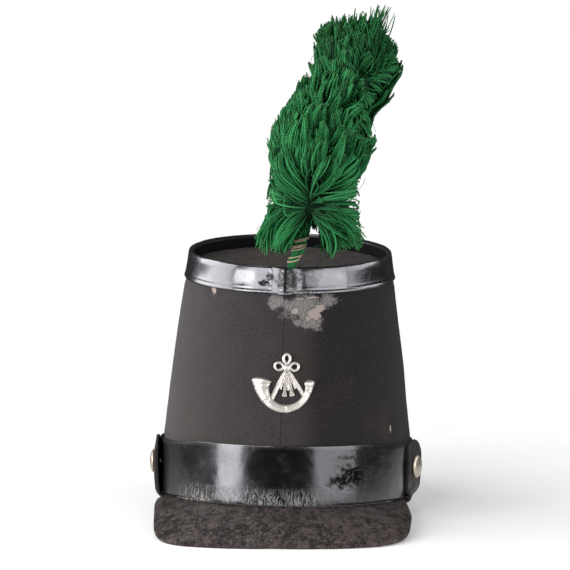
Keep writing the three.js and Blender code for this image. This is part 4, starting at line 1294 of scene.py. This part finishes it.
def yarn(name, paths, radii, sides, tones):
    """One mesh of many tubes: paths[strand, step, xyz], radii[strand, step] and a tone for each strand."""
    count, steps, _ = paths.shape
    tangent = unit(np.gradient(paths, axis=1))
    side = unit(np.cross(tangent, np.array([0.31, -0.80, 0.51])))
    other = np.cross(tangent, side)
    turns = np.linspace(0, 2 * math.pi, sides, endpoint=False)
    ring = np.cos(turns)[:, None] * side[:, :, None] + np.sin(turns)[:, None] * other[:, :, None]
    verts = (paths[:, :, None] + radii[:, :, None, None] * ring).reshape(-1, 3)
    first = (np.arange(count)[:, None, None] * steps + np.arange(steps - 1)[None, :, None]) * sides
    spot = np.arange(sides)[None, None, :]
    after = (spot + 1) % sides
    quads = np.stack([first + spot, first + after, first + sides + after, first + sides + spot], -1).reshape(-1, 4)
    roots = (np.arange(count)[:, None] * steps * sides) + np.arange(sides)[::-1]
    tips = ((np.arange(count)[:, None] * steps + steps - 1) * sides) + np.arange(sides)
    ends = np.concatenate([roots, tips])
    corners = np.concatenate([quads.ravel(), ends.ravel()]).astype(np.int32)
    totals = np.concatenate([np.full(len(quads), 4), np.full(len(ends), sides)])
    mesh = bpy.data.meshes.new(name)
    mesh.vertices.add(len(verts))
    mesh.vertices.foreach_set("co", verts.astype(np.float32).ravel())
    mesh.loops.add(len(corners))
    mesh.loops.foreach_set("vertex_index", corners)
    mesh.polygons.add(len(totals))
    starts = np.concatenate([[0], np.cumsum(totals)[:-1]]).astype(np.int32)
    mesh.polygons.foreach_set("loop_start", starts)
    mesh.update(calc_edges=True)
    length = np.concatenate([np.zeros((count, 1)), np.cumsum(np.linalg.norm(np.diff(paths, axis=1), axis=2), axis=1)], 1)
    round_share = np.tile(np.arange(sides) / sides, count * steps)
    along = np.repeat(length.ravel(), sides)
    uv = np.stack([round_share[corners], along[corners] * 0.001], -1)
    spots = np.tile(np.array([0, 1, 1, 0]), len(quads))
    uv[: len(spots), 0] = np.where((spots == 1) & (uv[: len(spots), 0] == 0), 1.0, uv[: len(spots), 0])
    mesh.uv_layers.new(name="UVMap").data.foreach_set("uv", uv.astype(np.float32).ravel())
    obj = bpy.data.objects.new(name, mesh)
    bpy.context.scene.collection.objects.link(obj)
    paint(obj, "tone", np.repeat(tones, steps * sides))
    paint(obj, "along", np.tile(np.repeat(np.linspace(0, 1, steps), sides), count))
    return obj


# %% [markdown]
# ## Wool
#
# Dyed worsted yarn: a deep green, painted darker at the roots as painted shade deep in the plume,
# a little faded and yellowish at the tips, with the ply's twist as a fine slanting line.

# %% Wool material
material, tree, shader = new_material("green_wool", Roughness=0.85, Sheen_Weight=0.15, Sheen_Roughness=0.45, Specular_Ior_Level=0.2)
wool = material
shader.inputs["Sheen Tint"].default_value = shade(0.45, 0.80, 0.55)
uv = uv_of(tree)
tone, along = painted(tree, "tone"), painted(tree, "along")
split = add(tree, "SeparateXYZ", {0: uv})
twist = calc(tree, "ADD", calc(tree, "MULTIPLY", split.outputs[0], 2.0), calc(tree, "MULTIPLY", split.outputs[1], 520.0))
ply = calc(tree, "SINE", calc(tree, "MULTIPLY", twist, 2 * math.pi))
low_tone = blend(tree, band(tree, tone, 0.0, 0.5), shade(0.002, 0.030, 0.008), shade(0.010, 0.140, 0.036))
green = blend(tree, band(tree, tone, 0.5, 1.0), low_tone, shade(0.050, 0.330, 0.105))
# Painted shade: the roots, deep in the plume, are painted darker.
green = blend(tree, band(tree, along, 0.45, 0.0, 0.0, 0.62), green, shade(0.001, 0.018, 0.005))
green = blend(tree, band(tree, along, 0.86, 1.0, 0.0, 0.30), green, shade(0.070, 0.190, 0.065))
green = blend(tree, band(tree, ply, 0.2, 1.0, 0.0, 0.35), green, shade(0.003, 0.030, 0.010))
wire(tree, shader, Base_Color=green, Normal=bump(tree, ply, 0.00010))

# %% [markdown]
# ## Straw and cane
#
# The stem is a slip of cane, and straw windings hold the yarn to it.

# %% Cane material
material, tree, shader = new_material("old_cane", Roughness=0.6)
cane = material
uv = uv_of(tree)
speck = use_group(tree, grain, Vector=uv, Size=0.0008)
wire(
    tree,
    shader,
    Base_Color=blend(tree, speck["Fine"], shade(0.30, 0.20, 0.10), shade(0.78, 0.66, 0.48)),
    Normal=bump(tree, speck["Fine"], 0.0001),
)

# %% [markdown]
# ## Stem
#
# The cane goes down into the socket behind the top band. Above it, yarn lies along the cane and
# straw is wound round both, leaning to the right as the plume does.

# %% Stem
STEM_RADIUS = 1.7
repair = yarn("peak_repair_threads", REPAIR, np.full(REPAIR.shape[:2], 0.34), 6, np.full(len(REPAIR), 0.5))
set_down(repair, cane, "cane", "peak")
seam_angle = math.asin(SEAM_X / 68.8)
foot, socket = (shell_point(seam_angle, h, 1.6) for h in (153.0, 168.0))
knee = foot + (socket - foot) * ((159.0 - foot[2]) / (socket[2] - foot[2])) + (4.6, 0, 0)
stem_path = smooth_line([foot, (foot + knee) / 2, knee, (7.6, -88.0, 170.0), (11.0, -88.0, 184.0), (14.0, -86.5, 200.0)], 34)


def tube_rings(path, radii, sides=16):
    tangent = unit(np.gradient(path, axis=0))
    side = unit(np.cross(tangent, np.array([0.0, 1.0, 0.0])))
    other = np.cross(tangent, side)
    turns = np.linspace(0, 2 * math.pi, sides, endpoint=False)
    ring = np.cos(turns)[:, None] * side[:, None] + np.sin(turns)[:, None] * other[:, None]
    return path[:, None] + np.asarray(radii)[:, None, None] * ring


def stem_spot(share):
    at = share * (len(stem_path) - 1)
    return np.stack([np.interp(at, np.arange(len(stem_path)), stem_path[:, k]) for k in range(3)], -1)


stem = loft("cane_stem", tube_rings(stem_path, np.linspace(STEM_RADIUS, 1.3, 34)), capped=True)
lay_uv(stem, *np.meshgrid(np.linspace(0, 50, 35), np.linspace(0, 14, 17), indexing="ij"))
set_down(stem, cane, "cane", "plume_stem")

BINDINGS = [(0.45, 4.4), (0.48, 4.6), (0.55, 5.0), (0.57, 5.2), (0.31, 3.8), (0.34, 4.0)]
binding_paths = []
for share, radius in BINDINGS:
    turns = np.linspace(0, 2 * math.pi * 1.35, 26) + rng.uniform(0, 6)
    spots = stem_spot(np.clip(share + 0.02 * turns / 6.3, 0, 1))
    binding_paths.append(spots + radius * np.stack([np.cos(turns), np.sin(turns), 0.25 * np.sin(turns + 1)], -1))
binding_paths = np.array(binding_paths)
straw = yarn("straw_binding", binding_paths, np.full(binding_paths.shape[:2], 0.45), 6, np.full(len(BINDINGS), 0.5))
set_down(straw, cane, "cane", "plume_stem")

WRAPS = 120
around = rng.uniform(0, 2 * math.pi, WRAPS)
from_share = rng.uniform(0.16, 0.42, WRAPS)
to_share = from_share + rng.uniform(0.28, 0.5, WRAPS)
steps = np.linspace(0, 1, 12)
share = from_share[:, None] + (to_share - from_share)[:, None] * steps
angle = around[:, None] + rng.normal(0, 0.9, (WRAPS, 1)) * steps + 0.4 * np.sin(5 * steps + around[:, None])
radius = (1.7 + rng.uniform(0, 0.9, (WRAPS, 1))) * (0.75 + 0.9 * steps)
wrap_paths = stem_spot(share) + radius[..., None] * np.stack([np.cos(angle), np.sin(angle), 0 * angle], -1)
wraps = yarn("stem_yarn", wrap_paths, 0.48 + 0 * share, 5, rng.uniform(0.55, 1.0, WRAPS))
set_down(wraps, wool, "wool", "plume")

# %% [markdown]
# ## Plume
#
# Yarn is tied to the cane all the way up, and each strand springs out and then lies along the plume.
# Round the whole outline runs one simple flow: upwards along the leaning core. Near the bottom the
# strands part, radiate from one dark point and hang down; near the top a second point throws a fan to
# the right. Strands lie in clumps whose tips draw together.

# %% Plume
PLUME = {
    "z": [160, 166, 172, 184, 206, 224, 242, 256, 263, 267, 286, 298, 304, 309, 313, 319, 324, 327, 333],
    "x": [12, 14, 15, 14, 15.0, 18.0, 22.0, 24, 27, 32.5, 41.8, 43.4, 43, 40.6, 39.4, 40.7, 42, 43, 43],
    "y": [-88, -88, -88, -87, -86, -85, -83, -81, -80, -80, -77, -76, -76, -75, -75, -74, -74, -74, -74],
    "wide": [32, 35, 36, 33, 32.5, 32.5, 33, 32, 31, 33.5, 32, 29, 26.5, 22, 18.5, 14.5, 10.5, 7, 3],
    "deep": [22, 24, 26, 29, 31, 31, 32, 31, 31, 31, 31, 28, 26, 22, 18, 14, 10, 7, 3],
}
# Inside, the yarn doesn't close in towards the top as the outline does: it runs on and is cut there.
BRUSH = {"wide": np.maximum(PLUME["wide"], 26.0), "deep": np.maximum(PLUME["deep"], 25.0)}
LOW_WHORL, LOW_PARTING = np.array([13.5, 197.0]), np.array([16.0, 214.0])
HIGH_WHORL = np.array([49.0, 283.0])
# How low the hanging yarn reaches across the plume, in x and height.
HANG = {"x": [-30, -24, -15, -11, -2, 5, 8, 12, 20, 23, 32, 36, 50, 60], "z": [186, 179, 173, 169, 166, 173, 178, 184, 183, 168, 166, 171, 172, 180]}


def plume_at(z, brush=False):
    tables = {**PLUME, **BRUSH} if brush else PLUME
    return [np.interp(z, PLUME["z"], tables[key]) for key in ("x", "y", "wide", "deep")]


def plume_lean(z):
    return (np.interp(z + 6, PLUME["z"], PLUME["x"]) - np.interp(z - 6, PLUME["z"], PLUME["x"])) / 12


def flow(x, z, front):
    """The direction of the yarn seen from the front, as (x, z) unit vectors."""
    lean = np.clip(plume_lean(z), 0.05, 0.42)
    up = unit(np.stack([lean, np.ones_like(z)], -1))
    place = np.stack([x, z], -1)
    line = LOW_PARTING - LOW_WHORL
    nearest = LOW_WHORL + np.clip((place - LOW_WHORL) @ line / (line @ line), 0, 1)[..., None] * line
    low = place - nearest
    low_reach = np.linalg.norm(low, axis=-1)
    low_share = np.where(z < LOW_WHORL[1], 1.0, 0.8 * np.exp(-(((z - LOW_WHORL[1]) / 24) ** 2)))[..., None]
    field = up * (1 - low_share) + low / (low_reach[..., None] + 3.5) * low_share
    left = x < LOW_WHORL[0]
    heavy = smooth_step(np.where(left, 197, 192) - z, 0, 13) * smooth_step(low_reach, 8, 21) * np.where(left, 2.4, 0.8)
    field = field + np.stack([0 * x, -heavy], -1)
    high = np.stack([x - HIGH_WHORL[0], z - HIGH_WHORL[1]], -1)
    high_reach = np.linalg.norm(high, axis=-1)
    aside = smooth_step(high[..., 0] - 0.25 * high[..., 1], -3, 6)
    fan = (aside * (1 - smooth_step(high_reach, 36, 46)))[..., None]
    curl = np.stack([unit(high)[..., 0], unit(high)[..., 1] - 0.012 * high_reach], -1)
    behind = np.stack([lean, 2 * smooth_step(z, 190, 212) - 1], -1)
    field = np.where(front[..., None], field * (1 - fan) + curl * fan, behind)
    return unit(field)


def grow(turn, z, length, rise, start_depth, steps, spin, front):
    """Strand paths that start at an angle round the core and a height, and follow the flow."""
    count = len(turn)
    paths = np.zeros((count, steps, 3))
    bend = rng.normal(0, 0.13, count)
    lift = np.interp(z, [184, 215, 245, 265], [2.6, 2.4, 1.5, 1.1])
    for step in range(steps):
        t = step / (steps - 1)
        x_mid, y_mid, wide, deep = plume_at(z, brush=True)
        depth = start_depth + (rise - start_depth) * (1 - (1 - t) ** lift)
        paths[:, step, 0] = x_mid + wide * depth * np.sin(turn)
        paths[:, step, 1] = y_mid - deep * depth * np.cos(turn)
        paths[:, step, 2] = z
        x = x_mid + wide * np.sin(turn)
        heading = flow(x, z, front)
        swing = spin + bend * math.sin(4 * t + 0.5)
        hx = heading[:, 0] * np.cos(swing) - heading[:, 1] * np.sin(swing)
        hz = heading[:, 0] * np.sin(swing) + heading[:, 1] * np.cos(swing)
        advance = length / (steps - 1)
        side_step = (hx - plume_lean(z) * hz) * advance
        turn = turn + np.clip(side_step / (wide * np.maximum(np.cos(turn), 0.30)), -0.5, 0.5) * np.where(front, 1, 0.5)
        z = z + hz * advance
    return paths


def trim(paths, limit):
    """Cuts each strand where it leaves the plume's outline or hangs too low."""
    x_mid, y_mid, wide, deep = plume_at(paths[..., 2])
    reach = np.hypot((paths[..., 0] - x_mid) / wide, (paths[..., 1] - y_mid) / deep)
    lowest = np.interp(paths[..., 0], HANG["x"], HANG["z"]) + rng.uniform(0, 5, (len(paths), 1))
    outside = (reach > np.asarray(limit)[:, None]) | (paths[..., 2] < lowest)
    steps = paths.shape[1]
    first = np.where(outside.any(1), outside.argmax(1), steps - 1).astype(float)
    kept = np.maximum(first, 2.5)
    at = np.linspace(0, 1, steps)[None, :] * kept[:, None]
    base = np.minimum(at.astype(int), steps - 2)
    part = (at - base)[..., None]
    rows = np.arange(len(paths))[:, None]
    cut = paths[rows, base] * (1 - part) + paths[rows, base + 1] * part
    return cut[first >= 2.5]


def clumps(count, size, spread, wide_angle, low_z, high_z, back=False):
    """Starts of strands in clumps: angle, height, and a random share that belongs to the whole clump."""
    groups = count // size
    z = rng.uniform(low_z, high_z, groups)
    turn = rng.uniform(-wide_angle, wide_angle, groups) + (math.pi if back else 0)
    owner = np.repeat(np.arange(groups), size)
    turn = turn[owner] + rng.normal(0, spread / 31, len(owner))
    z = z[owner] + rng.normal(0, spread, len(owner))
    return turn, z, rng.uniform(0, 1, groups)[owner], owner


def gather(paths, owner, strength):
    """Draws the tips of each clump together."""
    groups = owner.max() + 1
    middle = np.zeros((groups,) + paths.shape[1:])
    np.add.at(middle, owner, paths)
    middle /= np.bincount(owner)[:, None, None]
    pull = strength * np.linspace(0, 1, paths.shape[1])[None, :, None] ** 1.3
    return paths + (middle[owner] - paths) * pull


def thickness(count, steps, low, high):
    """Yarn keeps its thickness and is cut blunt, with a slightly frayed tip."""
    base = rng.uniform(low, high, (count, 1))
    return base * np.interp(np.linspace(0, 1, steps), [0, 0.8, 1], [0.9, 1.0, 0.62])


FRONT_STRANDS, FRONT_STEPS = 5600, 10
turn, z, clump_share, owner = clumps(FRONT_STRANDS, 11, 2.1, math.radians(100), 184, 318)
clump_count = owner.max() + 1
x_start = plume_at(z)[0] + plume_at(z)[2] * np.sin(turn)
facing = np.exp(-(((x_start - 36) / 9) ** 2) - ((z - 279) / 12) ** 2)
length = (22 + 12 * clump_share) * rng.uniform(0.84, 1.1, len(z)) * np.interp(z, [184, 206, 225, 290], [1.25, 1.2, 0.95, 0.95])
length = length * (1 - 0.45 * facing)
rise = (0.84 + 0.22 * rng.uniform(0, 1, clump_count))[owner] + rng.normal(0, 0.02, len(z)) + 0.06 * facing
rise = rise + 0.14 * (1 - smooth_step(z, 215, 262)) * smooth_step(np.abs(turn), 0.7, 1.3)
spin = rng.normal(0, 0.17, clump_count)[owner] + rng.normal(0, 0.07, len(z)) + rng.normal(0, 0.5, len(z)) * facing
front_paths = grow(turn, z, length, rise, 0.40, FRONT_STEPS, spin, np.abs(turn) < 1.75)
front_paths = gather(front_paths, owner, 0.72)
front_paths = trim(front_paths, (1.03 + rng.normal(0, 0.05, clump_count))[owner] + rng.normal(0, 0.02, len(z)))
order = np.argsort(front_paths[:, 0, 2])
for number, part in enumerate(np.array_split(order, 4)):
    chosen = front_paths[part]
    tones = 0.60 + 0.55 * wobble(chosen[:, -1], 4.0, 15) + rng.normal(0, 0.22, len(part))
    # Painted shade: the strands towards the top are given a darker tone.
    tones -= 0.22 * smooth_step(chosen[:, -1, 2], 250, 320)
    radii = thickness(len(part), FRONT_STEPS, 0.44, 0.60)
    piece = yarn(f"plume_front_{number + 1}", chosen, radii, 5, np.clip(tones, 0, 1))
    set_down(piece, wool, "wool", "plume", smooth=60)

BACK_STRANDS, BACK_STEPS = 2600, 8
turn, z, clump_share, owner = clumps(BACK_STRANDS, 6, 2.2, math.radians(85), 184, 316, back=True)
length = (28 + 12 * clump_share) * np.interp(z, [184, 200, 290, 316], [0.9, 1.0, 0.9, 0.8])
spin = rng.normal(0, 0.15, owner.max() + 1)[owner]
back_paths = grow(turn, z, length, 0.88 + 0.16 * clump_share, 0.50, BACK_STEPS, spin, np.zeros(len(z), bool))
back_paths = trim(gather(back_paths, owner, 0.6), (1.02 + rng.normal(0, 0.05, owner.max() + 1))[owner])
radii = thickness(len(back_paths), BACK_STEPS, 0.62, 0.78)
piece = yarn("plume_back", back_paths, radii, 4, rng.uniform(0.1, 0.7, len(back_paths)))
set_down(piece, wool, "wool", "plume", smooth=60)

# Upright yarn fills the cut top, where the outline closes in.
TOP_STRANDS, TOP_STEPS = 900, 7
steps = np.linspace(0, 1, TOP_STEPS)[None, :]
out_share, turn = np.sqrt(rng.uniform(0, 0.9, TOP_STRANDS)), rng.uniform(-math.pi, math.pi, TOP_STRANDS)
foot_z = rng.uniform(284, 302, TOP_STRANDS)
x_mid, y_mid, wide, deep = plume_at(foot_z)
feet = np.stack([x_mid + 0.8 * wide * out_share * np.sin(turn), y_mid - 0.8 * deep * out_share * np.cos(turn), foot_z], -1)
reach = rng.uniform(17, 29, TOP_STRANDS)
leaning = np.stack([0.16 + 0.25 * out_share * np.sin(turn), -0.25 * out_share * np.cos(turn), np.ones(TOP_STRANDS)], -1)
leaning += rng.normal(0, 0.10, leaning.shape)
top_paths = feet[:, None] + (leaning * reach[:, None])[:, None] * steps[..., None]
top_paths[..., 2] -= (2.5 * out_share)[:, None] * steps**2
top_paths = trim(top_paths, rng.uniform(0.85, 0.98, TOP_STRANDS))
# Painted shade: the upright strands at the top get a darker tone too.
top_tones = np.clip(0.42 + 0.4 * wobble(top_paths[:, -1], 4.0, 16) + rng.normal(0, 0.15, len(top_paths)), 0, 1)
piece = yarn("plume_top", top_paths, thickness(len(top_paths), TOP_STEPS, 0.46, 0.60), 5, top_tones)
set_down(piece, wool, "wool", "plume", smooth=60)

# A wisp of loose tips stands up at the top right, and single hairs stand off all over.
WISPS = 70
steps = np.linspace(0, 1, 9)[None, :]
base = np.stack([rng.normal(52, 3.0, WISPS), rng.normal(-92, 6, WISPS), rng.uniform(292, 302, WISPS)], -1)
tip = np.stack([rng.normal(59, 3.6, WISPS), rng.normal(-92, 8, WISPS), rng.uniform(313, 330, WISPS)], -1)
wisp_paths = base[:, None] + (tip - base)[:, None] * steps[..., None]
wisp_paths[..., 0] += rng.normal(0, 1.0, (WISPS, 1)) * np.sin(steps * math.pi)
wisps = yarn("plume_wisps", wisp_paths, thickness(WISPS, 9, 0.30, 0.45), 5, rng.uniform(0.1, 0.7, WISPS))
set_down(wisps, wool, "wool", "plume", smooth=60)

# Two locks at the bottom bow outwards: a short one to the left and a long one to the right.
LOCKS = [
    ((-2, -97, 192), (-13.5, -97, 187), (-15.5, -96, 171.5), 80),
    ((28, -101, 193), (37, -103, 189), (46, -100, 176), 80),
]
for number, (base, crest, tip, count) in enumerate(LOCKS):
    scatter = rng.normal(0, 1, (count, 3)) * (2.5, 5.0, 2.5)
    spread = rng.normal(0, 1, (count, 3)) * (2.6, 5.0, 3.2)
    bases, crests, tips = (np.array(p) + q for p, q in ((base, scatter), (crest, scatter * 0.8 + spread * 0.3), (tip, spread)))
    lock_paths = (
        (1 - steps[..., None]) ** 2 * bases[:, None]
        + 2 * steps[..., None] * (1 - steps[..., None]) * crests[:, None]
        + steps[..., None] ** 2 * tips[:, None]
    )
    lock = yarn(f"plume_lock_{number + 1}", lock_paths, thickness(count, 9, 0.42, 0.56), 5, rng.uniform(0.35, 0.85, count))
    set_down(lock, wool, "wool", "plume", smooth=60)

HAIRS, HAIR_STEPS = 70, 7
turn = rng.uniform(-math.pi, math.pi, HAIRS)
z = rng.uniform(184, 318, HAIRS)
spin = rng.normal(0, 0.6, HAIRS)
hair_paths = grow(turn, z, rng.uniform(8, 18, HAIRS), rng.uniform(1.0, 1.10, HAIRS), 0.90, HAIR_STEPS, spin, np.abs(turn) < 1.7)
hair_paths = trim(hair_paths, rng.uniform(1.02, 1.14, HAIRS))
hair_paths += np.cumsum(rng.normal(0, 0.12, hair_paths.shape), axis=1)
hairs = yarn("plume_hairs", hair_paths, np.full(hair_paths.shape[:2], 0.16), 3, rng.uniform(0.3, 0.9, len(hair_paths)))
set_down(hairs, wool, "wool", "plume", smooth=60)
print("strands", len(front_paths) + len(back_paths) + WISPS + len(hair_paths))

# The dark mass inside, so that no light comes through. It gets the darkest tone of the roots, as painted shade.
core_z = np.linspace(188, 314, 30)
core_rings = []
for level in core_z:
    x_mid, y_mid, wide, deep = plume_at(level)
    close = 0.52 * math.sqrt(max(0.05, 1 - (abs(level - 251) / 66) ** 6))
    around = np.linspace(0, 2 * math.pi, 40, endpoint=False)
    core_rings.append(np.stack([x_mid + close * wide * np.sin(around), y_mid - close * deep * np.cos(around), 0 * around + level], -1))
core = loft("plume_core", core_rings, capped=True)
lay_uv(core, *np.meshgrid(np.linspace(0, 130, 31), np.linspace(0, 160, 41), indexing="ij"))
points = coords(core)
set_coords(core, points + vertex_normals(core) * (2.0 * wobble(points, 5, 14))[:, None])
paint(core, "tone", np.zeros(len(points)))
paint(core, "along", np.zeros(len(points)))
set_down(core, wool, "wool", "plume")
